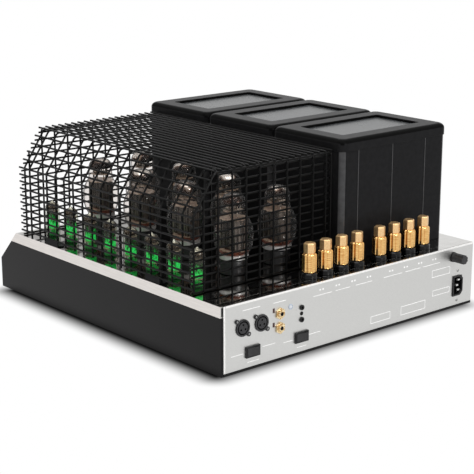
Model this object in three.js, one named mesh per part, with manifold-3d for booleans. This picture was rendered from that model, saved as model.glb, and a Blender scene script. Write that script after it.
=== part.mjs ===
import * as THREE from "three";
import { mergeVertices } from "three/addons/utils/BufferGeometryUtils.js";
import Module from "manifold-3d";

const wasm = await Module();
wasm.setup();

// Tube power amplifier, in millimetres. X runs along the name plate, Y from the plate to the back, Z up.
// The connector panel closes the +X end. The group's origin is the middle of its footprint, on the floor.

// Fits
const fitGap = 0.3;
const overrun = 1;

// Chassis: its width and depth follow from what stands on the deck
const deckHeight = 90;
const endMargin = 41.5;
const sheetWall = 1.5;
const endSlopeWidth = 42;
const endSlopeHeight = 43;
const stripHeight = 14;
const frontPlateThickness = 3;
const footHeight = 4.7;
const footRadius = 15;
const footInset = 38;
const footStemRadius = 4;
const footStemRise = 2;
const coverThickness = 3.2;
const ventLength = 60;
const ventWidth = 4;
const ventPitch = 14;
const ventCount = 5;
const panelFlange = 12;

// Output tubes: two rows in the middle of the deck
const outputTubeColumns = 4;
const outputTubePitch = 93.8;
const outputRowCount = 2;
const outputRowPitch = 71.9;
const outputRowSetback = 69.8;
const outputTubeHeight = 100;
const outputBaseRadius = 17;
const outputBaseHeight = 21.5;
const outputRingRadius = 18.5;
const outputRingHeight = 3.5;
const outputGlassRadius = 24.5;
const outputSpigotRadius = 4;
const outputSpigotLength = 11;
const outputSocketRadius = 15;

// Driver tubes: one row behind the name plate
const driverTubeCount = 8;
const driverSideMargin = 29.4;
const driverRowPlace = 33.5;
const driverTubeHeight = 49;
const driverGlassRadius = 9.5;
const driverSpigotRadius = 3;
const driverSpigotLength = 7;
const driverSocketRadius = 8;

// Circuit board that carries the sockets, under the deck
const boardThickness = 2.4;
const boardDrop = 14;
const boardMargin = 26;
const standoffRadius = 4;
const capacitorRadius = 15;
const capacitorLength = 45;
const capacitorCount = 5;
const capacitorPitch = 62;

// Transformers: three potted cans in a row behind the tubes
const transformerCount = 3;
const transformerGap = 2;
const transformerWidth = 131;
const transformerDepth = 196;
const transformerBackMargin = 13;
const transformerHeight = 157.5;
const capHeight = 15.6;
const capRound = 7;
const capCornerRadius = 10;
const capOverhang = 1.2;
const canWall = 2.5;
const coreClearance = 1;
const glassMarginX = 27;
const glassMarginY = 27;
const glassRecess = 6;
const glassThickness = 2.5;
const glassCornerRadius = 2;
const leadHoleRadius = 10;
const leadRadius = 8;
const leadDrop = 12;

// Wire cage over the tubes
const cageSideMargin = 44.8;
const cageFront = 2;
const cageBackMargin = 51.8;
const cageBackClearance = 4;
const cageHeight = 145.3;
const cageFrontHeight = 94.6;
const cageSlopeRun = 33;
const wireDiameter = 2.4;
const wirePitchAcross = 20.6;
const wirePitchUp = 9.64;
const wiresPerOpening = 2;
const clipWidth = 29;
const clipThickness = 1.2;
const clipFlange = 8;
const clipRise = 7;
const clipPlace = 110;

// Binding posts: two groups of four along the connector panel
const postInset = 22;
const postPitch = 27.3;
const postsPerGroup = 4;
const postGroupGap = 40.4;
const postShift = 40.6;
const collarRadius = 10.2;
const collarHeight = 7;
const collarHoleClearance = 0.5;
const stripWidth = 24;
const stripThickness = 8;
const studRadius = 3.7;
const studLength = 26;
const nutBarrelRadius = 9.1;
const nutBarrelHeight = 23.7;
const nutHexRadius = 7.6;
const nutHexHeight = 13.3;
const nutBoreClearance = 0.4;
const nutBoreDepth = 28;

// Balanced inputs
const balancedPlaces = [32.2, 61.3];
const balancedDropShare = 0.384;
const balancedFlangeRadius = 10.5;
const balancedFlangeThickness = 1.2;
const balancedBodyRadius = 9.4;
const balancedBodyDepth = 20;
const balancedGrooveOuter = 8.4;
const balancedGrooveInner = 7;
const balancedGrooveDepth = 8;
const balancedPinRadius = 1.3;
const balancedPinCircle = 3.8;
const balancedPinDepth = 7;
const balancedLugRadius = 3;
const balancedLugReach = 12.9;

// Unbalanced inputs
const phonoPlace = 90.6;
const phonoDropShares = [0.32, 0.538];
const phonoNutRadius = 7.6;
const phonoNutThickness = 1.6;
const phonoBarrelRadius = 4.9;
const phonoReach = 3.8;
const phonoBore = 1.7;
const phonoStemRadius = 4;
const phonoBlockDepth = 14;
const phonoBlockWidth = 14;
const phonoBlockMargin = 7;

// Trigger jacks
const triggerPlace = 125.6;
const triggerDropShares = [0.319, 0.5055];
const triggerRadius = 3.4;
const triggerReach = 1.6;
const triggerBore = 1.75;
const triggerStemRadius = 2.8;
const triggerBlockDepth = 14;
const triggerBlockWidth = 9;
const triggerBlockMargin = 5;

// Rocker switches
const switchPlaces = [47.2, 125.4];
const switchDropShare = 0.7693;
const switchWidth = 21.6;
const switchHeight = 13.5;
const switchBezel = 2;
const switchBezelRim = 0.9;
const switchWall = 0.6;
const switchDepth = 17;
const rockerLift = 3;
const rockerDip = 1.1;
const rockerKeel = 5;
const rockerKeelHalfWidth = 4;
const rockerTilt = 8;
const pivotSink = 1.5;
const pivotRadius = 1.2;
const pivotClearance = 0.3;

// Mains inlet
const inletBackMargin = 29;
const inletDropShare = 0.6736;
const inletWidth = 20;
const inletHeight = 28.3;
const inletRim = 1.2;
const inletWall = 2.4;
const inletDepth = 22;
const inletRecess = 16;
const inletCutCorner = 5;
const inletBladeThickness = 2;
const inletBladeWidth = 4;
const inletBladeReach = 14;
const inletBladePitch = 7;
const inletBladeInset = 3.6;
const inletEarthShift = 3;

// Fuse holder
const fuseBackMargin = 40;
const fuseDropShare = 0.1681;
const fuseFlangeRadius = 6.8;
const fuseFlangeThickness = 1.6;
const fuseTubeRadius = 5.6;
const fuseTubeDepth = 30;
const fuseBore = 4.2;
const fuseCapRadius = 6.2;
const fuseCapReach = 20.4;
const fuseStemRadius = 3.4;
const fuseStemDepth = 22;
const fuseCapGrooves = 8;
const fuseGrooveRadius = 0.9;

// Facets of round pieces
const roundSteps = 16;
const plainSteps = 12;
const smallSteps = 8;
const hexSides = 6;
const cornerSteps = 2;
const capRoundSteps = 2;

// Glass outlines: radius and height of each point, as shares of the glass's radius and height
const outputGlassShares = [
  [0.72, 0.00],
  [0.96, 0.14],
  [1.00, 0.42],
  [0.68, 0.66],
  [0.64, 0.87],
  [0.44, 0.97],
];
const driverGlassShares = [
  [1.00, 0.00],
  [1.00, 0.80],
  [0.72, 0.91],
  [0.22, 0.95],
  [0.16, 1.00],
];

// Worked out from the sizes above: along the deck
const outputRowPlaces = Array.from(
  { length: outputRowCount },
  (_, i) => driverRowPlace + outputRowSetback + i * outputRowPitch,
);
const cageBack = outputRowPlaces[outputRowCount - 1] + cageBackMargin;
const chassisDepth = cageBack + cageBackClearance + transformerDepth + transformerBackMargin;
const transformerMiddle = cageBack + cageBackClearance + transformerDepth / 2;
const betweenOutputRows = (outputRowPlaces[0] + outputRowPlaces[outputRowCount - 1]) / 2;
const postGroupLength = (postsPerGroup - 1) * postPitch;
const postMiddle = chassisDepth / 2 + postShift;
const postGroupPlaces = [postMiddle - postGroupGap / 2 - postGroupLength, postMiddle + postGroupGap / 2];

// Across the deck
const cageWidth = (outputTubeColumns - 1) * outputTubePitch + 2 * cageSideMargin;
const driverTubePitch = (cageWidth - 2 * driverSideMargin) / (driverTubeCount - 1);
const transformerPitch = transformerWidth + transformerGap;
const transformerRowWidth = transformerCount * transformerPitch - transformerGap;
const chassisWidth = Math.max(transformerRowWidth, cageWidth) + 2 * endMargin;

// Upwards
const coverBottom = footHeight + fitGap;
const coverTop = coverBottom + coverThickness;
const shellBottom = coverTop + fitGap;
const plateTop = deckHeight - stripHeight;
const plateBack = frontPlateThickness + fitGap;
const deckUnderside = deckHeight - sheetWall;
const panelFace = chassisWidth / 2;
const panelInside = panelFace - sheetWall;
const shellEnd = panelInside - fitGap;
const shellLeft = -chassisWidth / 2;
const onDeck = deckHeight + fitGap;
const boardTop = deckUnderside - boardDrop;
const canTop = deckHeight + transformerHeight - capHeight;
const sideReach = Math.max(fuseCapReach, phonoReach);

// Places on the connector panel: heights are drops below the deck, as shares of the panel's height
const panelHeight = deckHeight - shellBottom;
const balancedDrop = balancedDropShare * panelHeight;
const phonoDrops = phonoDropShares.map((share) => share * panelHeight);
const triggerDrops = triggerDropShares.map((share) => share * panelHeight);
const switchDrop = switchDropShare * panelHeight;
const inletPlace = chassisDepth - inletBackMargin;
const inletDrop = inletDropShare * panelHeight;
const fusePlace = chassisDepth - fuseBackMargin;
const fuseDrop = fuseDropShare * panelHeight;

// Solids

function facingOut(geometry) {
  const bare = new THREE.BufferGeometry();
  bare.setAttribute("position", geometry.attributes.position);
  bare.setIndex(geometry.index);
  const merged = mergeVertices(bare);
  const place = merged.attributes.position;
  const corners = merged.index.array;
  const a = new THREE.Vector3();
  const b = new THREE.Vector3();
  const c = new THREE.Vector3();
  let volume = 0;
  for (let i = 0; i < corners.length; i += 3) {
    a.fromBufferAttribute(place, corners[i]);
    b.fromBufferAttribute(place, corners[i + 1]);
    c.fromBufferAttribute(place, corners[i + 2]);
    volume += a.dot(b.cross(c));
  }
  const faces = [];
  for (let i = 0; i < corners.length; i += 3) {
    const face = [corners[i], corners[i + 1], corners[i + 2]];
    const flat = face[0] === face[1] || face[1] === face[2] || face[2] === face[0];
    if (!flat) {
      faces.push(...(volume < 0 ? face.reverse() : face));
    }
  }
  merged.setIndex(faces);
  return merged;
}

function solid(geometry) {
  const closed = facingOut(geometry);
  return new wasm.Manifold(new wasm.Mesh({
    numProp: 3,
    vertProperties: new Float32Array(closed.attributes.position.array),
    triVerts: new Uint32Array(closed.index.array),
  }));
}

function geometryOf(body) {
  const mesh = body.getMesh();
  const geometry = new THREE.BufferGeometry();
  geometry.setAttribute("position", new THREE.BufferAttribute(mesh.vertProperties.slice(), 3));
  geometry.setIndex(new THREE.BufferAttribute(mesh.triVerts.slice(), 1));
  geometry.computeVertexNormals();
  return geometry;
}

function joined(bodies) {
  return bodies.reduce((whole, body) => whole.add(body));
}

function cut(body, tools) {
  return tools.reduce((rest, tool) => rest.subtract(tool), body);
}

function blockBetween(low, high) {
  const size = high.map((value, i) => value - low[i]);
  const middle = high.map((value, i) => (value + low[i]) / 2);
  return solid(new THREE.BoxGeometry(...size).translate(...middle));
}

function rod(radius, low, high, steps) {
  const length = high - low;
  const geometry = new THREE.CylinderGeometry(radius, radius, length, steps);
  return geometry.rotateX(Math.PI / 2).translate(0, 0, low + length / 2);
}

function rodAt(x, y, radius, low, high, steps) {
  return solid(rod(radius, low, high, steps).translate(x, y, 0));
}

// Rods that cut round holes: their flats, not their corners, lie at the radius
function holeAt(x, y, radius, low, high, steps) {
  return rodAt(x, y, radius / Math.cos(Math.PI / steps), low, high, steps);
}

function turned(outline, steps) {
  const points = outline.map(([radius, height]) => new THREE.Vector2(radius, height));
  return new THREE.LatheGeometry(points, steps).rotateX(Math.PI / 2);
}

function polygon(points) {
  return new THREE.Shape(points.map(([x, y]) => new THREE.Vector2(x, y)));
}

function rectangle(left, low, right, high) {
  return polygon([[left, low], [right, low], [right, high], [left, high]]);
}

function roundedRectangle(width, height, radius) {
  const x = width / 2;
  const y = height / 2;
  const shape = new THREE.Shape();
  shape.absarc(x - radius, y - radius, radius, 0, Math.PI / 2);
  shape.absarc(radius - x, y - radius, radius, Math.PI / 2, Math.PI);
  shape.absarc(radius - x, radius - y, radius, Math.PI, 1.5 * Math.PI);
  shape.absarc(x - radius, radius - y, radius, 1.5 * Math.PI, 2 * Math.PI);
  return shape;
}

function extruded(shape, thickness) {
  return new THREE.ExtrudeGeometry(shape, {
    depth: thickness,
    bevelEnabled: false,
    curveSegments: cornerSteps,
  });
}

function fromAbove(shape, low, thickness) {
  return solid(extruded(shape, thickness).translate(0, 0, low));
}

// A shape drawn in X and Z, made thick along Y
function fromFront(shape, front, thickness) {
  return solid(extruded(shape, thickness).rotateX(Math.PI / 2).translate(0, front + thickness, 0));
}

// A shape drawn in Y and Z, made thick along X
function fromSide(shape, inside, thickness) {
  return solid(standing(extruded(shape, thickness)).translate(inside, 0, 0));
}

function standing(geometry) {
  const turn = new THREE.Matrix4().makeBasis(
    new THREE.Vector3(0, 1, 0),
    new THREE.Vector3(0, 0, 1),
    new THREE.Vector3(1, 0, 0),
  );
  return geometry.applyMatrix4(turn);
}

// A rod along X, through the point (y, z) of the connector panel
function sideRod(y, z, radius, inside, outside, steps) {
  return solid(standing(rod(radius, inside, outside, steps)).translate(0, y, z));
}

function sideHole(y, z, radius, inside, outside, steps) {
  return sideRod(y, z, radius / Math.cos(Math.PI / steps), inside, outside, steps);
}

function finish(colour, roughness, metalness) {
  return new THREE.MeshStandardMaterial({ color: colour, roughness, metalness });
}

function piece(name, material, body, place = [0, 0, 0]) {
  const mesh = new THREE.Mesh(geometryOf(body), material);
  mesh.name = name;
  mesh.position.set(...place);
  return mesh;
}

const polishedSteel = finish(0xc9c8c4, 0.15, 1);
const satinSteel = finish(0xd4d5d6, 0.4, 1);
const blackGlass = finish(0x101011, 0.2, 0);
const blackSteel = finish(0x1b1b1c, 0.5, 0.4);
const blackPaint = finish(0x19191a, 0.3, 0.2);
const greyGlass = finish(0x8d8f90, 0.25, 0);
const ironCore = finish(0x3a3936, 0.6, 0.8);
const tubeGlass = finish(0x5c5148, 0.1, 0.1);
const greenGlass = finish(0x3f8a4c, 0.15, 0);
const boardLaminate = finish(0x274a35, 0.6, 0);
const blackPlastic = finish(0x161617, 0.5, 0);
const goldPlate = finish(0xd9b56c, 0.25, 1);
const rubber = finish(0x121212, 0.9, 0);

// Places that repeat

function spread(count, pitch) {
  return Array.from({ length: count }, (_, i) => (i - (count - 1) / 2) * pitch);
}

function outputTubePlaces() {
  return outputRowPlaces.flatMap((y) => spread(outputTubeColumns, outputTubePitch).map((x) => [x, y]));
}

function driverTubePlaces() {
  return spread(driverTubeCount, driverTubePitch).map((x) => [x, driverRowPlace]);
}

function postPlaces(groupPlace) {
  return Array.from({ length: postsPerGroup }, (_, i) => groupPlace + i * postPitch);
}

const postX = panelFace - postInset;
const allPostPlaces = postGroupPlaces.flatMap(postPlaces);
const transformerPlaces = spread(transformerCount, transformerPitch);

function footPlaces() {
  const left = shellLeft + footInset;
  const right = panelFace - footInset;
  const front = footInset;
  const back = chassisDepth - footInset;
  return [[left, front, 0], [right, front, 0], [left, back, 0], [right, back, 0]];
}

// Chassis

// The end seen from the front: square on the right, sloped on the left
function chassisOutline(right, low) {
  return [
    [shellLeft, low],
    [right, low],
    [right, deckHeight],
    [shellLeft + endSlopeWidth, deckHeight],
    [shellLeft, deckHeight - endSlopeHeight],
  ];
}

// The same outline, one sheet's thickness inside
function chassisHollow(right, low, high) {
  const slopeLength = Math.hypot(endSlopeWidth, endSlopeHeight);
  const slopeLow = deckHeight - endSlopeHeight - sheetWall * (slopeLength - endSlopeHeight) / endSlopeWidth;
  const fall = deckHeight - high;
  const slopeIn = (sheetWall * slopeLength + (endSlopeHeight - fall) * endSlopeWidth) / endSlopeHeight;
  return [
    [shellLeft + sheetWall, low],
    [right, low],
    [right, high],
    [shellLeft + slopeIn, high],
    [shellLeft + sheetWall, slopeLow],
  ];
}

function chassisShell() {
  const below = shellBottom - overrun;
  const beyond = shellEnd + overrun;
  const lipBottom = plateTop + fitGap;
  const lipInside = lipBottom + sheetWall;
  const hollowFront = plateBack + sheetWall;
  const hollow = polygon(chassisHollow(beyond, below, deckUnderside));
  const lipHollow = cut(
    fromFront(hollow, sheetWall, hollowFront - sheetWall + overrun),
    [blockBetween([shellLeft, 0, below], [beyond, hollowFront + 2 * overrun, lipInside])],
  );
  const holes = [
    ...outputTubePlaces().map(([x, y]) => deckHole(x, y, outputSocketRadius + fitGap, plainSteps)),
    ...driverTubePlaces().map(([x, y]) => deckHole(x, y, driverSocketRadius + fitGap, smallSteps)),
    ...allPostPlaces.map((y) => deckHole(postX, y, collarRadius + collarHoleClearance, smallSteps)),
    ...transformerPlaces.map((x) => deckHole(x, transformerMiddle, leadHoleRadius, smallSteps)),
  ];
  return cut(fromFront(polygon(chassisOutline(shellEnd, shellBottom)), 0, chassisDepth), [
    blockBetween([shellLeft - overrun, -overrun, below], [beyond, plateBack, lipBottom]),
    fromFront(hollow, hollowFront, chassisDepth - sheetWall - hollowFront),
    lipHollow,
    ...holes,
  ]);
}

function deckHole(x, y, radius, steps) {
  return holeAt(x, y, radius, deckUnderside - overrun, deckHeight + overrun, steps);
}

function frontPlate() {
  const whole = fromFront(polygon(chassisOutline(panelFace, coverBottom)), 0, frontPlateThickness);
  const above = blockBetween(
    [shellLeft - overrun, -overrun, plateTop],
    [panelFace + overrun, frontPlateThickness + overrun, deckHeight + overrun],
  );
  return whole.subtract(above);
}

// Folded panel with its sockets' holes; its flanges lie under the deck and on the bottom cover
function connectorPanel() {
  const sheet = blockBetween([panelInside, plateBack, shellBottom], [panelFace, chassisDepth, deckHeight]);
  const flangeFront = plateBack + sheetWall + fitGap;
  const flangeBack = chassisDepth - sheetWall - fitGap;
  const flangeEdge = panelInside - panelFlange;
  const upper = deckUnderside - fitGap;
  const flanges = [
    blockBetween([flangeEdge, flangeFront, upper - sheetWall], [panelFace, flangeBack, upper]),
    blockBetween([flangeEdge, flangeFront, shellBottom], [panelFace, flangeBack, shellBottom + sheetWall]),
  ];
  const inside = panelInside - overrun;
  const outside = panelFace + overrun;
  const hole = (y, z, radius) => sideHole(y, z, radius, inside, outside, plainSteps);
  const window = (y, z, width, height) => blockBetween(
    [inside, y - width / 2, z - height / 2],
    [outside, y + width / 2, z + height / 2],
  );
  const switchHole = [switchWidth, switchHeight].map((side) => side - 2 * switchBezelRim + 2 * fitGap);
  const inletHole = [inletWidth, inletHeight].map((side) => side - 2 * inletRim + 2 * fitGap);
  const collars = allPostPlaces.map((y) => holeAt(
    postX, y, collarRadius + collarHoleClearance, upper - sheetWall - overrun, upper + overrun, plainSteps,
  ));
  return cut(joined([sheet, ...flanges]), [
    ...balancedPlaces.map((y) => hole(y, deckHeight - balancedDrop, balancedBodyRadius + fitGap)),
    ...phonoDrops.map((drop) => hole(phonoPlace, deckHeight - drop, phonoStemRadius + fitGap)),
    ...triggerDrops.map((drop) => hole(triggerPlace, deckHeight - drop, triggerStemRadius + fitGap)),
    hole(fusePlace, deckHeight - fuseDrop, fuseTubeRadius + fitGap),
    ...switchPlaces.map((y) => window(y, deckHeight - switchDrop, ...switchHole)),
    window(inletPlace, deckHeight - inletDrop, ...inletHole),
    ...collars,
  ]);
}

function bottomCover() {
  const front = plateBack;
  const sheet = blockBetween([shellLeft, front, coverBottom], [panelFace, chassisDepth, coverTop]);
  const feet = footPlaces().map(([x, y]) => holeAt(
    x, y, footStemRadius + fitGap, coverBottom - overrun, coverTop + overrun, smallSteps,
  ));
  const vents = transformerPlaces.flatMap((x) => spread(ventCount, ventPitch).map((shift) => blockBetween(
    [x - ventLength / 2, transformerMiddle + shift - ventWidth / 2, coverBottom - overrun],
    [x + ventLength / 2, transformerMiddle + shift + ventWidth / 2, coverTop + overrun],
  )));
  return cut(sheet, [...feet, ...vents]);
}

function foot() {
  const stemTop = coverTop + footStemRise;
  return solid(turned([
    [0, 0],
    [footRadius, 0],
    [footRadius, footHeight],
    [footStemRadius, footHeight],
    [footStemRadius, stemTop],
    [0, stemTop],
  ], plainSteps));
}

// Tubes, each about its own axis with its base on the deck

function outputTube() {
  const glassBottom = outputBaseHeight;
  const glassHeight = outputTubeHeight - glassBottom;
  const glass = outputGlassShares.map(([radiusShare, heightShare]) => [
    radiusShare * outputGlassRadius,
    glassBottom + heightShare * glassHeight,
  ]);
  return solid(turned([
    [0, -outputSpigotLength],
    [outputSpigotRadius, -outputSpigotLength],
    [outputSpigotRadius, 0],
    [outputBaseRadius, 0],
    [outputBaseRadius, glassBottom - outputRingHeight],
    [outputRingRadius, glassBottom - outputRingHeight],
    [outputRingRadius, glassBottom],
    ...glass,
    [0, outputTubeHeight],
  ], plainSteps));
}

function driverTube() {
  const glass = driverGlassShares.map(([radiusShare, heightShare]) => [
    radiusShare * driverGlassRadius,
    heightShare * driverTubeHeight,
  ]);
  return solid(turned([
    [0, -driverSpigotLength],
    [driverSpigotRadius, -driverSpigotLength],
    [driverSpigotRadius, 0],
    ...glass,
    [0, driverTubeHeight],
  ], smallSteps));
}

// Circuit board with its sockets, stand-offs up to the deck, and capacitors hanging from it
function socketBoard() {
  const boardX = (outputTubeColumns - 1) * outputTubePitch / 2 + boardMargin;
  const boardFront = driverRowPlace - boardMargin / 2;
  const boardBack = outputRowPlaces[outputRowCount - 1] + boardMargin;
  const boardBottom = boardTop - boardThickness;
  const inBoard = boardBottom + boardThickness / 2;
  const board = blockBetween([-boardX, boardFront, boardBottom], [boardX, boardBack, boardTop]);
  const socket = ([x, y], radius, steps) => rodAt(x, y, radius, inBoard, deckHeight, steps);
  const bore = ([x, y], radius, depth) => holeAt(
    x, y, radius + fitGap, deckHeight - depth - fitGap, deckHeight + overrun, smallSteps,
  );
  const cornerInset = 2 * standoffRadius;
  const standoffX = boardX - cornerInset;
  const standoffRows = [boardFront + cornerInset, boardBack - cornerInset];
  const standoffs = [-standoffX, standoffX].flatMap((x) => standoffRows.map(
    (y) => rodAt(x, y, standoffRadius, inBoard, deckUnderside - fitGap, smallSteps),
  ));
  const capacitors = spread(capacitorCount, capacitorPitch).map((x) => rodAt(
    x, betweenOutputRows, capacitorRadius, boardBottom - capacitorLength, inBoard, plainSteps,
  ));
  const sockets = [
    ...outputTubePlaces().map((place) => socket(place, outputSocketRadius, plainSteps)),
    ...driverTubePlaces().map((place) => socket(place, driverSocketRadius, smallSteps)),
  ];
  const bores = [
    ...outputTubePlaces().map((place) => bore(place, outputSpigotRadius, outputSpigotLength)),
    ...driverTubePlaces().map((place) => bore(place, driverSpigotRadius, driverSpigotLength)),
  ];
  return cut(joined([board, ...sockets, ...standoffs, ...capacitors]), bores);
}

// Transformers, each about the middle of its can

function transformerHousing() {
  const bodyWidth = transformerWidth - 2 * capOverhang;
  const bodyDepth = transformerDepth - 2 * capOverhang;
  const bodyCorner = capCornerRadius - capOverhang;
  const inCap = canTop + capHeight / 2;
  const can = fromAbove(roundedRectangle(bodyWidth, bodyDepth, bodyCorner), onDeck, inCap - onDeck);
  const cap = solid(new THREE.ExtrudeGeometry(
    roundedRectangle(transformerWidth, transformerDepth, capCornerRadius),
    {
      depth: capHeight - 2 * capRound,
      bevelEnabled: true,
      bevelThickness: capRound,
      bevelSize: capRound,
      bevelOffset: -capRound,
      bevelSegments: capRoundSteps,
      curveSegments: cornerSteps,
    },
  ).translate(0, 0, canTop + capRound));
  const hollow = fromAbove(
    roundedRectangle(bodyWidth - 2 * canWall, bodyDepth - 2 * canWall, bodyCorner - canWall),
    onDeck - overrun,
    canTop - onDeck + overrun,
  );
  const openWidth = transformerWidth - 2 * glassMarginX;
  const openDepth = transformerDepth - 2 * glassMarginY;
  const recess = fromAbove(
    roundedRectangle(openWidth, openDepth, glassCornerRadius),
    canTop + capHeight - glassRecess,
    glassRecess + overrun,
  );
  return cut(can.add(cap), [hollow, recess]);
}

// Potted winding and laminations, with a bundle of leads down through the deck
function transformerCore() {
  const inset = 2 * (capOverhang + canWall + coreClearance);
  const block = fromAbove(
    roundedRectangle(transformerWidth - inset, transformerDepth - inset, capCornerRadius - inset / 2),
    onDeck,
    canTop - coreClearance - onDeck,
  );
  return block.add(rodAt(0, 0, leadRadius, deckUnderside - leadDrop, onDeck + overrun, smallSteps));
}

function transformerGlass() {
  const width = transformerWidth - 2 * glassMarginX - 2 * fitGap;
  const depth = transformerDepth - 2 * glassMarginY - 2 * fitGap;
  const low = canTop + capHeight - glassRecess + fitGap;
  return fromAbove(roundedRectangle(width, depth, glassCornerRadius - fitGap), low, glassThickness);
}

// Cage: five flat grilles of crossing wires, drawn with every second wire

const cageBottom = onDeck;
const cageTop = deckHeight + cageHeight;
const slopeBottom = cageBottom + cageFrontHeight;
const slopeRise = cageTop - slopeBottom;
const slopeLength = Math.hypot(cageSlopeRun, slopeRise);
const slopeAngle = Math.atan2(slopeRise, cageSlopeRun);
const innerWidth = cageWidth - 2 * (wireDiameter + fitGap);
const lowerMitre = wireDiameter * Math.tan((Math.PI / 2 - slopeAngle) / 2) + fitGap;
const upperMitre = wireDiameter * Math.tan(slopeAngle / 2) + fitGap;

// The openings among the crossing wires of a width and a height; block makes one from its corners
function openings(width, height, block) {
  const across = Math.max(1, Math.round(width / (wirePitchAcross * wiresPerOpening)));
  const up = Math.max(1, Math.round(height / (wirePitchUp * wiresPerOpening)));
  const stepAcross = (width - wireDiameter) / across;
  const stepUp = (height - wireDiameter) / up;
  const tools = [];
  for (let i = 0; i < across; i += 1) {
    for (let j = 0; j < up; j += 1) {
      const left = i * stepAcross + wireDiameter;
      const low = j * stepUp + wireDiameter;
      tools.push(block(left, low, (i + 1) * stepAcross, (j + 1) * stepUp));
    }
  }
  return tools;
}

function cageFrontGrille() {
  const left = -innerWidth / 2;
  const back = cageFront + wireDiameter;
  const height = cageFrontHeight - lowerMitre;
  const plate = blockBetween([left, cageFront, cageBottom], [-left, back, cageBottom + height]);
  const grille = cut(plate, openings(innerWidth, height, (a, low, b, high) => blockBetween(
    [left + a, cageFront - overrun, cageBottom + low],
    [left + b, back + overrun, cageBottom + high],
  )));
  const clips = [-clipPlace, clipPlace].flatMap((x) => {
    const from = x - clipWidth / 2;
    const to = x + clipWidth / 2;
    return [
      blockBetween([from, cageFront - clipThickness, onDeck], [to, back, onDeck + clipRise]),
      blockBetween([from, cageFront, onDeck], [to, back + clipFlange, onDeck + clipThickness]),
    ];
  });
  return joined([grille, ...clips]);
}

// Drawn flat, with its lower edge along X
function cageSlopeGrille() {
  const left = -innerWidth / 2;
  const length = slopeLength - lowerMitre - upperMitre;
  const plate = blockBetween([left, lowerMitre, -wireDiameter], [-left, lowerMitre + length, 0]);
  return cut(plate, openings(innerWidth, length, (a, low, b, high) => blockBetween(
    [left + a, lowerMitre + low, -wireDiameter - overrun],
    [left + b, lowerMitre + high, overrun],
  )));
}

function cageTopGrille() {
  const left = -innerWidth / 2;
  const front = cageFront + cageSlopeRun + upperMitre;
  const low = cageTop - wireDiameter;
  const plate = blockBetween([left, front, low], [-left, cageBack, cageTop]);
  return cut(plate, openings(innerWidth, cageBack - front, (a, near, b, far) => blockBetween(
    [left + a, front + near, low - overrun],
    [left + b, front + far, cageTop + overrun],
  )));
}

function cageSideOutline(inset) {
  const front = cageFront + inset;
  const back = cageBack - inset;
  const low = cageBottom + inset;
  const high = cageTop - inset;
  const slopeIn = inset * (slopeLength - slopeRise) / cageSlopeRun;
  const slopeOver = inset * (slopeLength - cageSlopeRun) / slopeRise;
  return [
    [front, low],
    [back, low],
    [back, high],
    [cageFront + cageSlopeRun + slopeOver, high],
    [front, slopeBottom - slopeIn],
  ];
}

// The middle plane of a side grille is at the mesh's own X of zero
function cageSideGrille() {
  const inside = -wireDiameter / 2;
  const outline = fromSide(polygon(cageSideOutline(0)), inside, wireDiameter);
  const within = polygon(cageSideOutline(wireDiameter));
  const inner = fromSide(within, inside - overrun, wireDiameter + 2 * overrun);
  const gaps = openings(cageBack - cageFront, cageTop - cageBottom, (a, low, b, high) => blockBetween(
    [inside - overrun, cageFront + a, cageBottom + low],
    [overrun - inside, cageFront + b, cageBottom + high],
  ));
  return cut(outline, gaps.map((gap) => gap.intersect(inner)));
}

// Binding posts

function terminalStrip() {
  const top = deckUnderside - 2 * fitGap - sheetWall;
  const half = stripWidth / 2;
  const bar = blockBetween([-half, -half, top - stripThickness], [half, postGroupLength + half, top]);
  const collarTop = deckHeight + collarHeight;
  const posts = postPlaces(0).flatMap((y) => [
    rodAt(0, y, collarRadius, top - stripThickness / 2, collarTop, plainSteps),
    rodAt(0, y, studRadius, top, collarTop + studLength, smallSteps),
  ]);
  return joined([bar, ...posts]);
}

function postNut() {
  const barrel = rodAt(0, 0, nutBarrelRadius, 0, nutBarrelHeight, plainSteps);
  const hex = rodAt(0, 0, nutHexRadius, nutBarrelHeight - overrun, nutBarrelHeight + nutHexHeight, hexSides);
  const bore = holeAt(0, 0, studRadius + nutBoreClearance, -overrun, nutBoreDepth, plainSteps);
  return barrel.add(hex).subtract(bore);
}

// Fittings of the connector panel: each is drawn about its own middle, with X = 0 on the panel's outer face

function balancedInput() {
  const face = fitGap + balancedFlangeThickness;
  const flange = sideRod(0, 0, balancedFlangeRadius, fitGap, face, roundSteps);
  const body = sideRod(0, 0, balancedBodyRadius, fitGap - balancedBodyDepth, face, plainSteps);
  const lugShift = balancedLugReach / Math.SQRT2;
  const lugs = [-1, 1].map((side) => sideRod(
    side * lugShift, -side * lugShift, balancedLugRadius, fitGap, face, smallSteps,
  ));
  const groove = sideRod(0, 0, balancedGrooveOuter, face - balancedGrooveDepth, face + overrun, plainSteps)
    .subtract(sideRod(0, 0, balancedGrooveInner, -balancedBodyDepth, face + 2 * overrun, plainSteps));
  const pins = [0, 1, 2].map((turn) => {
    const angle = Math.PI / 2 + 2 * Math.PI * turn / 3;
    const pinY = balancedPinCircle * Math.cos(angle);
    const pinZ = balancedPinCircle * Math.sin(angle);
    return sideRod(pinY, pinZ, balancedPinRadius, face - balancedPinDepth, face + overrun, smallSteps);
  });
  return cut(joined([flange, body, ...lugs]), [groove, ...pins]);
}

// A block behind the panel with a stem through it for each jack; heights are below the deck
function jackBlock(drops, width, depth, margin, stemRadius) {
  const back = -sheetWall - fitGap - depth;
  const low = -Math.max(...drops) - margin;
  const high = -Math.min(...drops) + margin;
  const block = blockBetween([back, -width / 2, low], [-sheetWall - fitGap, width / 2, high]);
  const stems = drops.map((drop) => sideRod(0, -drop, stemRadius, -depth / 2, 2 * fitGap, plainSteps));
  return joined([block, ...stems]);
}

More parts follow.
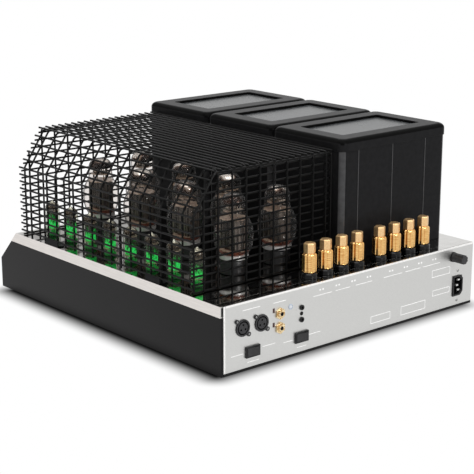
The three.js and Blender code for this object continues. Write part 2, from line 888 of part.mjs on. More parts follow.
function phonoJacks() {
  const block = jackBlock(phonoDrops, phonoBlockWidth, phonoBlockDepth, phonoBlockMargin, phonoStemRadius);
  const heads = phonoDrops.flatMap((drop) => [
    sideRod(0, -drop, phonoNutRadius, fitGap, fitGap + phonoNutThickness, hexSides),
    sideRod(0, -drop, phonoBarrelRadius, fitGap, phonoReach, plainSteps),
  ]);
  const bores = phonoDrops.map((drop) => sideRod(
    0, -drop, phonoBore, -phonoReach, phonoReach + overrun, smallSteps,
  ));
  return cut(joined([block, ...heads]), bores);
}

function triggerJacks() {
  const block = jackBlock(
    triggerDrops, triggerBlockWidth, triggerBlockDepth, triggerBlockMargin, triggerStemRadius,
  );
  const heads = triggerDrops.map((drop) => sideRod(
    0, -drop, triggerRadius, fitGap, triggerReach, plainSteps,
  ));
  const bores = triggerDrops.map((drop) => sideRod(
    0, -drop, triggerBore, -triggerBlockDepth / 2, triggerReach + overrun, smallSteps,
  ));
  return cut(joined([block, ...heads]), bores);
}

const switchBodyWidth = switchWidth - 2 * switchBezelRim;
const switchBodyHeight = switchHeight - 2 * switchBezelRim;
const rockerWindow = switchBodyWidth - 2 * switchWall;
const rockerWindowHeight = switchBodyHeight - 2 * switchWall;
const rockerHeight = rockerWindowHeight - 2 * fitGap;
const rockerReach = rockerWindow / 2 - fitGap;
const pivotX = fitGap + switchBezel - pivotSink;

// Bezel and body in one, with the rocker's pivot pin standing in its window
function switchFrame() {
  const bezel = blockBetween(
    [fitGap, -switchWidth / 2, -switchHeight / 2],
    [fitGap + switchBezel, switchWidth / 2, switchHeight / 2],
  );
  const body = blockBetween(
    [fitGap - switchDepth, -switchBodyWidth / 2, -switchBodyHeight / 2],
    [fitGap + switchBezel / 2, switchBodyWidth / 2, switchBodyHeight / 2],
  );
  const window = blockBetween(
    [fitGap - switchDepth + switchWall, -rockerWindow / 2, -rockerWindowHeight / 2],
    [fitGap + switchBezel + overrun, rockerWindow / 2, rockerWindowHeight / 2],
  );
  const pin = rodAt(pivotX, 0, pivotRadius, -switchBodyHeight / 2, switchBodyHeight / 2, smallSteps);
  return bezel.add(body).subtract(window).add(pin);
}

// The rocker from above, about its pivot: X outwards and Y along the panel
function rocker() {
  const halfWidth = Math.sqrt(rockerReach ** 2 - rockerLift ** 2);
  const outline = polygon([
    [-rockerKeel, -rockerKeelHalfWidth],
    [-rockerDip, -halfWidth],
    [rockerLift, -halfWidth],
    [rockerLift - rockerDip, 0],
    [rockerLift, halfWidth],
    [-rockerDip, halfWidth],
    [-rockerKeel, rockerKeelHalfWidth],
  ]);
  const bore = holeAt(0, 0, pivotRadius + pivotClearance, -rockerHeight, rockerHeight, smallSteps);
  return fromAbove(outline, -rockerHeight / 2, rockerHeight).subtract(bore);
}

function mainsInlet() {
  const face = fitGap + inletRim;
  const outline = (inset) => {
    const side = inletWidth / 2 - inset;
    const top = inletHeight / 2 - inset;
    const corner = inletCutCorner;
    return polygon([[-side, -top], [side - corner, -top], [side, corner - top], [side, top - corner],
      [side - corner, top], [-side, top]]);
  };
  const rim = fromSide(outline(0), fitGap, inletRim);
  const body = fromSide(outline(inletRim), fitGap - inletDepth, inletDepth + inletRim / 2);
  const recess = fromSide(outline(inletWall), face - inletRecess, inletRecess + overrun);
  const blade = (shift, place) => blockBetween(
    [face - inletRecess - overrun, place - inletBladeWidth / 2, shift - inletBladeThickness / 2],
    [face - inletRecess + inletBladeReach, place + inletBladeWidth / 2, shift + inletBladeThickness / 2],
  );
  const blades = [
    blade(-inletBladePitch, inletBladeInset),
    blade(0, inletBladeInset - inletEarthShift),
    blade(inletBladePitch, inletBladeInset),
  ];
  return joined([rim.add(body).subtract(recess), ...blades]);
}

function fuseHolder() {
  const face = fitGap + fuseFlangeThickness;
  const flange = sideRod(0, 0, fuseFlangeRadius, fitGap, face, roundSteps);
  const tube = sideRod(0, 0, fuseTubeRadius, fitGap - fuseTubeDepth, face, roundSteps);
  const bore = sideHole(0, 0, fuseBore, fitGap - fuseTubeDepth + sheetWall, face + overrun, plainSteps);
  return flange.add(tube).subtract(bore);
}

function fuseCap() {
  const low = 2 * fitGap + fuseFlangeThickness;
  const knob = sideRod(0, 0, fuseCapRadius, low, fuseCapReach, roundSteps);
  const stem = sideRod(0, 0, fuseStemRadius, -fuseStemDepth, low + overrun, plainSteps);
  const grooves = Array.from({ length: fuseCapGrooves }, (_, i) => {
    const angle = 2 * Math.PI * i / fuseCapGrooves;
    const y = fuseCapRadius * Math.cos(angle);
    const z = fuseCapRadius * Math.sin(angle);
    return sideRod(y, z, fuseGrooveRadius, low + overrun, fuseCapReach + overrun, smallSteps);
  });
  return cut(knob.add(stem), grooves);
}

// Assembly

const amplifier = new THREE.Group();

function group(meshes, place = [0, 0, 0]) {
  const whole = new THREE.Group();
  whole.add(...meshes);
  whole.position.set(...place);
  amplifier.add(whole);
}

const onPanel = (y, drop) => [panelFace, y, deckHeight - drop];
const nutSeat = deckHeight + collarHeight + fitGap;

group([
  piece("chassis_shell", polishedSteel, chassisShell()),
  piece("front_plate", blackGlass, frontPlate()),
  piece("connector_panel", satinSteel, connectorPanel()),
  piece("bottom_cover", blackSteel, bottomCover()),
  ...footPlaces().map((place, i) => piece(`foot_${i + 1}`, rubber, foot(), place)),
]);

const slope = piece("cage_slope_grille", blackSteel, cageSlopeGrille(), [0, cageFront, slopeBottom]);
slope.rotation.x = slopeAngle;
const sidePlace = (cageWidth - wireDiameter) / 2;
group([
  piece("cage_front_grille", blackSteel, cageFrontGrille()),
  slope,
  piece("cage_top_grille", blackSteel, cageTopGrille()),
  piece("cage_left_grille", blackSteel, cageSideGrille(), [-sidePlace, 0, 0]),
  piece("cage_right_grille", blackSteel, cageSideGrille(), [sidePlace, 0, 0]),
]);

transformerPlaces.forEach((x, i) => group([
  piece(`transformer_housing_${i + 1}`, blackPaint, transformerHousing()),
  piece(`transformer_core_${i + 1}`, ironCore, transformerCore()),
  piece(`transformer_top_glass_${i + 1}`, greyGlass, transformerGlass()),
], [x, transformerMiddle, 0]));

group([
  piece("tube_socket_board", boardLaminate, socketBoard()),
  ...outputTubePlaces().map((place, i) => piece(
    `output_tube_${i + 1}`, tubeGlass, outputTube(), [...place, onDeck],
  )),
  ...driverTubePlaces().map((place, i) => piece(
    `driver_tube_${i + 1}`, greenGlass, driverTube(), [...place, onDeck],
  )),
]);

group([
  ...postGroupPlaces.map((y, i) => piece(
    `terminal_strip_${i + 1}`, blackPlastic, terminalStrip(), [postX, y, 0],
  )),
  ...allPostPlaces.map((y, i) => piece(
    `post_nut_${i + 1}`, goldPlate, postNut(), [postX, y, nutSeat],
  )),
]);

const rockers = switchPlaces.map((y, i) => {
  const place = [panelFace + pivotX, y, deckHeight - switchDrop];
  const mesh = piece(`switch_rocker_${i + 1}`, blackPlastic, rocker(), place);
  mesh.rotation.z = -THREE.MathUtils.degToRad(rockerTilt);
  return mesh;
});

group([
  ...balancedPlaces.map((y, i) => piece(
    `balanced_input_${i + 1}`, blackPlastic, balancedInput(), onPanel(y, balancedDrop),
  )),
  piece("phono_jack_block", goldPlate, phonoJacks(), onPanel(phonoPlace, 0)),
  piece("trigger_jack_block", blackPlastic, triggerJacks(), onPanel(triggerPlace, 0)),
  ...switchPlaces.map((y, i) => piece(
    `switch_frame_${i + 1}`, blackPlastic, switchFrame(), onPanel(y, switchDrop),
  )),
  ...rockers,
  piece("mains_inlet", blackPlastic, mainsInlet(), onPanel(inletPlace, inletDrop)),
  piece("fuse_holder", blackPlastic, fuseHolder(), onPanel(fusePlace, fuseDrop)),
  piece("fuse_cap", blackPlastic, fuseCap(), onPanel(fusePlace, fuseDrop)),
]);

amplifier.position.set(-sideReach / 2, -chassisDepth / 2, 0);

export default amplifier;
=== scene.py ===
"""Looks of a tube power amplifier: polished chassis, wire cage, transformers, tubes and connectors."""
import logging
import math
from collections.abc import Callable, Sequence
from dataclasses import dataclass, field
from enum import Enum

import bmesh
import bpy
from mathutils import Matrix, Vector


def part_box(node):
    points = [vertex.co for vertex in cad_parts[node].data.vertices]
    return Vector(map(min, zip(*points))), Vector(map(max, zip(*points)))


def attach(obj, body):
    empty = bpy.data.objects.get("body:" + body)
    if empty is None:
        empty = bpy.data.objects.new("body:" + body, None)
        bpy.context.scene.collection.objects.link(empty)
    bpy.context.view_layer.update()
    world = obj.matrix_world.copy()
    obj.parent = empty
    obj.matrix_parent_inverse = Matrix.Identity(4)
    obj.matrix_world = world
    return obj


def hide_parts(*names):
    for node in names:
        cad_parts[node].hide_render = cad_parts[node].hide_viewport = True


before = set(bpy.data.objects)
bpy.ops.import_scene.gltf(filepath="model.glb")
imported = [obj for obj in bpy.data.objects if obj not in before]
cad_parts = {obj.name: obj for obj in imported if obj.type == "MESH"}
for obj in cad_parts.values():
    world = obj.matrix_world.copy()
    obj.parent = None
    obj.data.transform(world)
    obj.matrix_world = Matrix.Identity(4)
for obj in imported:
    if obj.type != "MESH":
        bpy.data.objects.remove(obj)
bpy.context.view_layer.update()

MM = 0.001
BASE = "chassis"
WHITE = (1.0, 1.0, 1.0, 1.0)
# An edge sharper than this, in degrees, is rounded, or stays sharp to the eye.
SHARP_ANGLE = 35.0
# An edge of a CAD node is rounded from this angle on.
CAD_SHARP_ANGLE = 30.0
# Neighbouring faces that turn less than this, in degrees, are one flat face.
FLAT_ANGLE = 0.5
# Points closer than this, in metres, are one: in a form, and in a CAD node.
WELD = 1e-7
CAD_WELD = 2e-6
# Roughness that no finish goes below, roughness of a clear coat, and strength of a bump.
SMOOTHEST = 0.02
COAT_ROUGHNESS = 0.05
BUMP_STRENGTH = 0.5
LOG = logging.getLogger("amplifier")

Point = tuple[float, float, float]
Pair = tuple[float, float]
Section = Sequence[Pair]
Tree = bpy.types.NodeTree
Socket = bpy.types.NodeSocket
Piece = bpy.types.Object
Face = bpy.types.MeshPolygon


class Axis(Enum):
    """Way that a piece's own height points in the row frame."""

    UP = "up"
    OUT = "out"

    def at(self, x: float, y: float, z: float) -> Vector:
        """Returns the row frame's vector for one in the piece's own frame."""
        if self is Axis.UP:
            return Vector((x, y, z))
        return Vector((z, x, y))


class Side(Enum):
    """Side wall of the cage."""

    LEFT = -1
    RIGHT = 1


def linear(colour: str) -> tuple[float, float, float, float]:
    """Turns an sRGB hex colour to the linear one that shaders take.

    Args:
        colour: six hex digits.

    Returns:
        Red, green, blue and an alpha of 1.
    """
    shares = [int(colour[i : i + 2], 16) / 255 for i in (0, 2, 4)]
    bent = [s / 12.92 if s <= 0.04045 else ((s + 0.055) / 1.055) ** 2.4 for s in shares]
    return (bent[0], bent[1], bent[2], 1.0)


def add_node(tree: Tree, kind: str, links: dict[str | int, object], **settings: object) -> bpy.types.Node:
    """Adds a node with its settings, and with what goes into its sockets.

    Args:
        tree: the tree that takes the node.
        kind: the node's type.
        links: for a socket's name or number, another node's output or a constant.
        settings: the node's own properties.

    Returns:
        The node.
    """
    node = tree.nodes.new(kind)
    for key, value in settings.items():
        setattr(node, key, value)
    for key, value in links.items():
        if isinstance(value, Socket):
            tree.links.new(value, node.inputs[key])
        else:
            node.inputs[key].default_value = value
    return node


def worked_out(tree: Tree, operation: str, *values: object) -> Socket:
    """Adds a sum of numbers and returns its output."""
    return add_node(tree, "ShaderNodeMath", dict(enumerate(values)), operation=operation).outputs[0]


def mapped(tree: Tree, value: Socket, limits: dict[str, float], bend: str = "LINEAR") -> Socket:
    """Adds a map from one range to another, with limits by socket, and returns its output."""
    links = {"Value": value, **limits}
    return add_node(tree, "ShaderNodeMapRange", links, interpolation_type=bend).outputs["Result"]


def mixed(tree: Tree, share: Socket, first: bpy.types.Node, second: bpy.types.Node) -> bpy.types.Node:
    """Adds a mix of two shaders, with the second one's share, and returns its node."""
    return add_node(tree, "ShaderNodeMixShader", {0: share, 1: first.outputs[0], 2: second.outputs[0]})


def seen_by(tree: Tree, first: str, *others: str) -> Socket:
    """Adds nodes that tell the named kinds of ray from the rest, and returns their output."""
    path = add_node(tree, "ShaderNodeLightPath", {}).outputs
    seen = path[f"Is {first} Ray"]
    for kind in others:
        seen = worked_out(tree, "MAXIMUM", seen, path[f"Is {kind} Ray"])
    return seen


def empty_tree(owner: bpy.types.ID) -> Tree:
    """Returns the emptied node tree of a material or a world."""
    owner.use_nodes = True
    owner.node_tree.nodes.clear()
    return owner.node_tree


def ramp(tree: Tree, factor: Socket, stops: Sequence[tuple[float, str]]) -> Socket:
    """Adds a colour ramp.

    Args:
        tree: the material's tree.
        factor: the output that runs the ramp.
        stops: place and hex colour of each stop, from 0 to 1.

    Returns:
        The output with the colour.
    """
    node = add_node(tree, "ShaderNodeValToRGB", {"Fac": factor})
    elements = node.color_ramp.elements
    while len(elements) < len(stops):
        elements.new(0.5)
    for element, (place, colour) in zip(elements, stops):
        element.position = place
        element.color = linear(colour)
    return node.outputs["Color"]


def outside_box(tree: Tree, middle: Point, half: Point) -> Socket:
    """Adds nodes that measure how far a place lies outside a box.

    Args:
        tree: the material's tree.
        middle: the box's middle, in millimetres.
        half: half its size along each axis.

    Returns:
        The output with the distance, in metres.
    """
    node = add_node(tree, "ShaderNodeTexCoord", {})
    place = node.outputs["Object"]
    for operation, *values in (
        ("SUBTRACT", [v * MM for v in middle]),
        ("ABSOLUTE",),
        ("SUBTRACT", [v * MM for v in half]),
        ("MAXIMUM", (0.0, 0.0, 0.0)),
        ("LENGTH",),
    ):
        links = dict(enumerate([place, *values]))
        node = add_node(tree, "ShaderNodeVectorMath", links, operation=operation)
        place = node.outputs[0]
    return node.outputs["Value"]


@dataclass(frozen=True)
class Finish:
    """Surface of one real material, with the fine variation that its making leaves."""

    name: str
    colour: str
    shade: str
    metallic: float = 0.0
    roughness: float = 0.4
    roughness_spread: float = 0.06
    grain: float = 2.0
    stretch: Point = (1.0, 1.0, 1.0)
    relief: float = 0.0
    coat: float = 0.0
    specular: float = 0.5
    detail: float = 3.0

    def pattern(self, tree: Tree) -> Socket:
        """Adds the grain and returns its output."""
        place = add_node(tree, "ShaderNodeTexCoord", {}).outputs["Object"]
        drawn = add_node(tree, "ShaderNodeMapping", {"Vector": place, "Scale": self.stretch}).outputs[0]
        links = {"Vector": drawn, "Scale": 1.0 / (self.grain * MM), "Detail": self.detail}
        return add_node(tree, "ShaderNodeTexNoise", links).outputs["Fac"]

    def base(self, tree: Tree, grain: Socket) -> Socket:
        """Returns the output with the surface's colour."""
        return ramp(tree, grain, ((0.35, self.shade), (0.65, self.colour)))

    def surface(self, tree: Tree) -> bpy.types.Node:
        """Adds the shader.

        Args:
            tree: the material's tree.

        Returns:
            The Principled shader.
        """
        grain = self.pattern(tree)
        smoothest = max(self.roughness - self.roughness_spread, SMOOTHEST)
        limits = {"To Min": smoothest, "To Max": self.roughness + self.roughness_spread}
        links = {
            "Base Color": self.base(tree, grain),
            "Metallic": self.metallic,
            "Roughness": mapped(tree, grain, limits),
            "Specular IOR Level": self.specular,
            "Coat Weight": self.coat,
            "Coat Roughness": COAT_ROUGHNESS,
        }
        shader = add_node(tree, "ShaderNodeBsdfPrincipled", links)
        if self.relief:
            rise = {"Height": grain, "Strength": BUMP_STRENGTH, "Distance": self.relief * MM}
            bump = add_node(tree, "ShaderNodeBump", rise)
            tree.links.new(bump.outputs["Normal"], shader.inputs["Normal"])
        return shader

    def material(self) -> bpy.types.Material:
        """Returns the finish's material, made on its first use."""
        found = bpy.data.materials.get(self.name)
        if found:
            return found
        made = bpy.data.materials.new(self.name)
        tree = empty_tree(made)
        add_node(tree, "ShaderNodeOutputMaterial", {"Surface": self.surface(tree).outputs[0]})
        return made


@dataclass(frozen=True)
class BandedFinish(Finish):
    """Finish whose colour changes with height, broken up by the grain, and that may give light."""

    low: float = 0.0
    high: float = 1.0
    breaks: float = 0.24
    stops: tuple[tuple[float, str], ...] = ()
    glow_stops: tuple[tuple[float, str], ...] = ()
    glow: float = 0.0

    def banded(self, tree: Tree, grain: Socket) -> Socket:
        """Returns the output with the share of the height, shifted by the grain."""
        place = add_node(tree, "ShaderNodeTexCoord", {}).outputs["Object"]
        height = add_node(tree, "ShaderNodeSeparateXYZ", {0: place}).outputs["Z"]
        share = mapped(tree, height, {"From Min": self.low * MM, "From Max": self.high * MM})
        shifted = worked_out(tree, "MULTIPLY_ADD", grain, 2 * self.breaks, share)
        return worked_out(tree, "SUBTRACT", shifted, self.breaks)

    def base(self, tree: Tree, grain: Socket) -> Socket:
        """Returns the output with the colour at each height."""
        return ramp(tree, self.banded(tree, grain), self.stops)

    def surface(self, tree: Tree) -> bpy.types.Node:
        """Returns the Principled shader with its light."""
        shader = super().surface(tree)
        if self.glow:
            light = ramp(tree, self.banded(tree, self.pattern(tree)), self.glow_stops)
            tree.links.new(light, shader.inputs["Emission Color"])
            shader.inputs["Emission Strength"].default_value = self.glow
        return shader


@dataclass(frozen=True)
class MirrorWithPaintedShade(Finish):
    """Polished steel with painted shade: darker in one field of the deck, under the cage, for the dark
    inside of the cage that it reflects.
    """

    # Colour of the painted shade, and the field's middle, half size and fade, in millimetres.
    tint: str = "6e6a66"
    middle: Point = (-10.0, -103.0, 90.0)
    half: Point = (186.0, 112.0, 20.0)
    fade: float = 12.0

    def base(self, tree: Tree, grain: Socket) -> Socket:
        """Returns the output with the colour, darkened by the painted shade inside the field."""
        plain = super().base(tree, grain)
        away = outside_box(tree, self.middle, self.half)
        share = mapped(tree, away, {"From Max": self.fade * MM})
        colours = {0: share, 6: linear(self.tint), 7: plain}
        return add_node(tree, "ShaderNodeMix", colours, data_type="RGBA").outputs[2]


@dataclass(frozen=True)
class ThinGlass(Finish):
    """Blown glass of a thin wall: clear when looked through, bright at its edges."""

    tint: str = "ffffff"
    outline: str = "2b2420"
    facing: float = 0.03
    edge: float = 0.5
    steepness: float = 4.0

    def surface(self, tree: Tree) -> bpy.types.Node:
        """Adds the shader.

        Args:
            tree: the material's tree.

        Returns:
            The mix of what passes and what is thrown back.
        """
        gloss = super().surface(tree)
        facing = add_node(tree, "ShaderNodeLayerWeight", {"Blend": 0.5}).outputs["Facing"]
        stops = ((0.0, self.tint), (0.55, self.tint), (0.93, self.outline))
        clear = add_node(tree, "ShaderNodeBsdfTransparent", {"Color": ramp(tree, facing, stops)})
        steep = worked_out(tree, "POWER", facing, self.steepness)
        share = mapped(tree, steep, {"To Min": self.facing, "To Max": self.edge})
        return mixed(tree, share, clear, gloss)


# Stainless sheet, mirror-polished on the deck: it shows the tubes again, and painted shade darkens it in the
# field under the cage.
POLISHED_STAINLESS = MirrorWithPaintedShade("stainless_steel_mirror_polished", "cfcecb", "c6c5c2", 1.0, 0.07, 0.03, 18.0)
# The same sheet, fine-ground along its length: pale, warm and even, with short streaks.
GROUND_STAINLESS = Finish(
    "stainless_steel_fine_ground", "e3deda", "dad5d1", 1.0, 0.36, 0.05, 1.2, (0.06, 1.0, 1.0)
)
# Sheet with a close satin grind: an even light grey, its grind only just to be seen.
PANEL_STAINLESS = Finish(
    "stainless_steel_satin_ground", "d0d0ce", "cbcbc9", 1.0, 0.42, 0.03, 0.7, (1.0, 0.25, 1.0)
)
# Painted highlight on the panel's bent edges: paler and less metallic than its face, so that it shows
# bright.
EDGE_PAINTED_HIGHLIGHT = Finish("stainless_steel_bent_edge", "eeedeb", "e6e5e3", 0.45, 0.5, 0.05, 2.0)
# Thick glass, enamelled black on its back: deep and even, with a weak shine.
BLACK_GLASS = Finish("float_glass_black_enamelled", "0f0e0f", "0d0c0d", 0.0, 0.2, 0.03, 40.0, specular=0.14)
# Steel wire, dipped in black enamel: a faint satin shine along each wire.
CAGE_ENAMEL = Finish("steel_wire_black_enamel", "070707", "050505", 0.0, 0.38, 0.05, 3.0, specular=0.12)
# Deep-drawn steel can in baked black enamel: deep black, almost without texture.
CAN_ENAMEL = Finish("drawn_steel_baked_enamel", "1c1c1d", "181819", 0.0, 0.35, 0.03, 6.0, specular=0.04)
# The same enamel, near black with painted shade over the cap's shoulder and down the recess.
SHOULDER_PAINTED_SHADE = Finish("baked_enamel_cap_shoulder", "080808", "060606", 0.0, 0.4, 0.03, 6.0, specular=0.03)
# Painted highlight on the same enamel: lighter on the cans' upright corners.
CORNER_PAINTED_HIGHLIGHT = Finish("baked_enamel_rubbed_corner", "414142", "373738", 0.0, 0.3, 0.04, 6.0, specular=0.2)
# Bead of each can, lighter than the enamel round it: a painted highlight.
BEAD_PAINTED_HIGHLIGHT = Finish("baked_enamel_raised_bead", "3e3e3f", "343435", 0.0, 0.3, 0.04, 3.0, specular=0.3)
# Float glass, enamelled grey on its back: its long soft shine is uneven over the plate.
GREY_GLASS = Finish("float_glass_grey_enamelled", "404244", "343637", 0.0, 0.26, 0.04, 50.0, specular=0.25)
# Zinc-plated and blacked sheet under the chassis.
BLACK_SHEET = Finish("steel_sheet_black_passivated", "141414", "0e0e0e", 0.3, 0.5, 0.08, 4.0, specular=0.2)
# Moulded rubber foot: dull, faintly dusty.
FOOT_RUBBER = Finish(
    "nitrile_rubber_moulded", "151515", "101010", 0.0, 0.8, 0.08, 0.8, relief=0.06, specular=0.2
)
# Potting compound round the transformer's core.
POTTING = Finish("epoxy_potting_compound", "2c2b29", "22211f", 0.0, 0.55, 0.1, 6.0, relief=0.2)
# Epoxy laminate, solder-masked green.
LAMINATE = Finish("epoxy_laminate_solder_masked", "23523a", "1c4430", 0.0, 0.4, 0.05, 3.0, relief=0.02)
# Phenolic tube base, moulded: dark grey, with a soft shine up its height.
PHENOLIC = Finish("phenolic_base_moulded", "1c1c1e", "151517", 0.0, 0.33, 0.04, 3.0, specular=0.7)
# Ring of bright chrome on the tube's base.
CHROME = Finish("chromium_plated_brass", "e4e2e1", "d6d4d3", 0.5, 0.32, 0.03, 5.0)
# Band of the stem seen through the glass, tinted by the copper leads.
COPPER_STEM = Finish("copper_lead_glass_stem", "8f4426", "3f1b10", 0.35, 0.28, 0.08, 4.0)
# Anodes of the output tubes: carbonised nickel sheet, dark brownish grey.
ANODE_NICKEL = Finish(
    "carbonised_nickel_anode", "877e76", "171412", 0.6, 0.3, 0.05, 2.4, (1.0, 1.0, 0.05), specular=0.3
)
# Bright nickel rods and supports.
BRIGHT_NICKEL = Finish("nickel_wire_drawn", "b5aca1", "857b6f", 1.0, 0.25, 0.06, 2.0)
# Spacer of split mica: light brown, silky.
MICA = Finish("mica_sheet_punched", "e6cfb8", "8f7461", 0.0, 0.3, 0.08, 3.0, coat=0.3)
# Gold plate on turned brass, polished: warm, with fine turning marks.
GOLD_PLATE = Finish("gold_plated_brass_turned", "f4ca88", "cd9a58", 1.0, 0.17, 0.06, 1.2, (0.15, 0.15, 3.0))
# Flats and ends of the nuts, milled and plated: paler and duller than the turned barrel.
PALE_GOLD = Finish("gold_plated_brass_milled", "ebc896", "dab27e", 0.9, 0.42, 0.05, 1.5)
# Plating on the phono jacks' rims, with painted reflection: a fine noise from cream highlights to brown
# shade.
JACK_GOLD_PAINTED_REFLECTION = Finish("gold_plated_jack_rim", "fff0c8", "a8762f", 0.95, 0.22, 0.06, 1.1, detail=1.0)
# Clear button of the small lamp.
PALE_LENS = Finish("acrylic_lens_clear", "c9ccd0", "c0c4c9", 0.0, 0.3, 0.03, 2.0, specular=0.3)
# Dark red ink of the small colour marks.
MARK_INK = Finish("epoxy_ink_maroon", "3a1512", "2a0f0d", 0.0, 0.5, 0.05, 1.0)
# Glossy moulded collar under each post.
GLOSS_PLASTIC = Finish(
    "polycarbonate_moulded_gloss", "0a0a0b", "070708", 0.0, 0.16, 0.04, 6.0, specular=0.25
)
# Glass-filled nylon of inlets and switches: black, with a fine mould grain.
SATIN_PLASTIC = Finish(
    "nylon_glass_filled_moulded", "141415", "0f0f10", 0.0, 0.42, 0.08, 0.7, relief=0.02, specular=0.3
)
# Rocker caps: a shade lighter and smoother than their frames.
ROCKER_PLASTIC = Finish(
    "polycarbonate_moulded_satin", "2c2c2d", "252526", 0.0, 0.38, 0.05, 2.0, specular=0.3
)
# Insert of the balanced inputs.
INSERT_PLASTIC = Finish("polyamide_insert_moulded", "2e2e30", "262628", 0.0, 0.4, 0.06, 1.5, specular=0.3)
# Contact blades of the inlet, stamped and nickel-plated: pale even deep in their recess.
BLADE_NICKEL = Finish("nickel_plated_contact_blade", "d9d9d7", "c9c9c6", 0.4, 0.35, 0.05, 1.5)
# Nickel-plated screws: a soft grey shine.
SCREW_STEEL = Finish("steel_screw_nickel_plated", "a2a2a1", "7d7d7c", 1.0, 0.28, 0.06, 1.2)
# Screen-printed ink lines: a little paler than the steel around them.
PRINT_INK = Finish("epoxy_ink_screen_printed", "f4f4f3", "ecebea", 0.0, 0.5, 0.05, 1.0)
# Lens of the small lamp.
LAMP_LENS = Finish("acrylic_lens_pale_blue", "a9b8cb", "98a9bf", 0.0, 0.3, 0.03, 2.0)
# Blown envelope of the output tubes: its thin glass throws back the room only at its edges.
CLEAR_BULB = ThinGlass("soda_glass_blown_clear", "e9e8e7", "dfdedd", 0.4, 0.05, 0.02, 20.0, tint="f4f1ef")
# Envelope of the small tubes.
SMALL_BULB = ThinGlass("soda_glass_drawn_clear", "e6e6e2", "dcdcd6", 0.4, 0.05, 0.02, 10.0, tint="eef0ea")
# Barium flash on the inside of the dome, a brown mirror, with painted reflection in its colour: dark patches
# low down, silvery to white in patches near its top.
GETTER_FLASH_AND_PAINTED_REFLECTION = BandedFinish(
    "barium_getter_flash", "c9c2b8", "57402f", 0.85, 0.14, 0.04, 13.0, detail=0.5,
    low=177.0, high=190.5, breaks=0.8,
    stops=((0.0, "080504"), (0.35, "1c130f"), (0.55, "3a2a22"), (0.7, "8d7d70"), (0.82, "f4efe8")),
)
# The same flash in the small tubes, with a painted highlight that brightens it towards its tip.
SMALL_FLASH_AND_PAINTED_HIGHLIGHT = BandedFinish(
    "barium_getter_flash_small", "c9c2b8", "57402f", 0.8, 0.2, 0.06, 5.0,
    low=124.0, high=139.0, breaks=0.4,
    stops=((0.0, "1c1511"), (0.35, "33271f"), (0.6, "5d4f44"), (0.78, "d2c8ba"), (1.0, "fbf8f1")),
)
# Anodes of the small tubes, lit green from their sockets: the green is painted light, glowing from the
# anodes themselves.
LIT_ANODE = BandedFinish(
    "nickel_anode_lit_green", "5c554e", "35302c", 0.3, 0.4, 0.1, 3.5,
    low=90.0, high=139.0, breaks=0.4, glow=0.9,
    stops=((0.0, "0a2c14"), (0.4, "143f20"), (0.55, "2f2a26"), (0.8, "3d3530"), (1.0, "241f1b")),
    glow_stops=(
        (0.0, "00340e"), (0.16, "0b9a31"), (0.3, "30e066"),
        (0.38, "13a83c"), (0.5, "003a10"), (0.6, "000000"),
    ),
)
# Stem and lamp below the small tubes' anodes.
GREEN_STEM = BandedFinish(
    "glass_stem_lit_green", "2fd65c", "18a03e", 0.0, 0.3, 0.05, 3.0,
    low=90.0, high=112.0, breaks=0.3, glow=0.9,
    stops=((0.0, "0f5a26"), (1.0, "1e7a36")),
    glow_stops=((0.0, "00300d"), (0.35, "0a7a28"), (0.7, "2bd85c"), (1.0, "0a7a25")),
)


def circle(sides: int = 32) -> Section:
    """Returns a round section of radius 1."""
    return [(math.cos(2 * math.pi * i / sides), math.sin(2 * math.pi * i / sides)) for i in range(sides)]


def fluted(flutes: int, depth: float, steps: int = 6) -> Section:
    """Makes a round section of radius 1 with flutes cut into it.

    Args:
        flutes: how many.
        depth: a flute's depth as a share of the radius.
        steps: points for each flute.

    Returns:
        The section's points.
    """
    points = []
    for i in range(flutes * steps):
        angle = 2 * math.pi * i / (flutes * steps)
        wave = 0.5 - 0.5 * math.cos(flutes * angle)
        radius = 1 - depth * min(1.0, 1.6 * wave**3)
        points.append((radius * math.cos(angle), radius * math.sin(angle)))
    return points


def rounded_rectangle(width: float, depth: float, radius: float, steps: int = 4) -> Section:
    """Makes a rectangle with rounded corners round the origin.

    Args:
        width: its size in X, in millimetres.
        depth: its size in Y.
        radius: of its corners.
        steps: parts of each corner.

    Returns:
        The section's points.
    """
    points = []
    corners = ((1, 1, 0), (-1, 1, 90), (-1, -1, 180), (1, -1, 270))
    for sx, sy, start in corners:
        for i in range(steps + 1):
            angle = math.radians(start + 90 * i / steps)
            x = sx * (width / 2 - radius) + radius * math.cos(angle)
            y = sy * (depth / 2 - radius) + radius * math.sin(angle)
            points.append((x, y))
    return points


def smooth_outline(points: Section, steps: int = 5) -> list[Pair]:
    """Draws a smooth line through the given points of a profile.

    Args:
        points: radius and height of each, in millimetres.
        steps: parts between two points.

    Returns:
        The line's points, the given ones among them.
    """
    drawn = []
    for i in range(len(points) - 1):
        before = Vector(points[max(i - 1, 0)])
        start, end = Vector(points[i]), Vector(points[i + 1])
        after = Vector(points[min(i + 2, len(points) - 1)])
        for k in range(steps):
            t = k / steps
            bent = 0.5 * (
                2 * start
                + (end - before) * t
                + (2 * before - 5 * start + 4 * end - after) * t**2
                + (3 * start - before - 3 * end + after) * t**3
            )
            drawn.append((max(bent.x, 0.0), bent.y))
    drawn.append(tuple(points[-1]))
    return drawn


def flat_areas(body: bmesh.types.BMesh) -> list[float]:
    """Measures the flat region that each face of a mesh belongs to.

    Args:
        body: the mesh.

    Returns:
        The region's area for each face, in square metres.
    """
    limit = math.cos(math.radians(FLAT_ANGLE))
    found = [0.0] * len(body.faces)
    for first in body.faces:
        if found[first.index]:
            continue
        region, waiting = {first}, [first]
        while waiting:
            face = waiting.pop()
            for edge in face.edges:
                for near in edge.link_faces:
                    if near not in region and near.normal.dot(face.normal) > limit:
                        region.add(near)
                        waiting.append(near)
        area = sum(face.calc_area() for face in region)
        for face in region:
            found[face.index] = max(area, 1e-12)
    return found


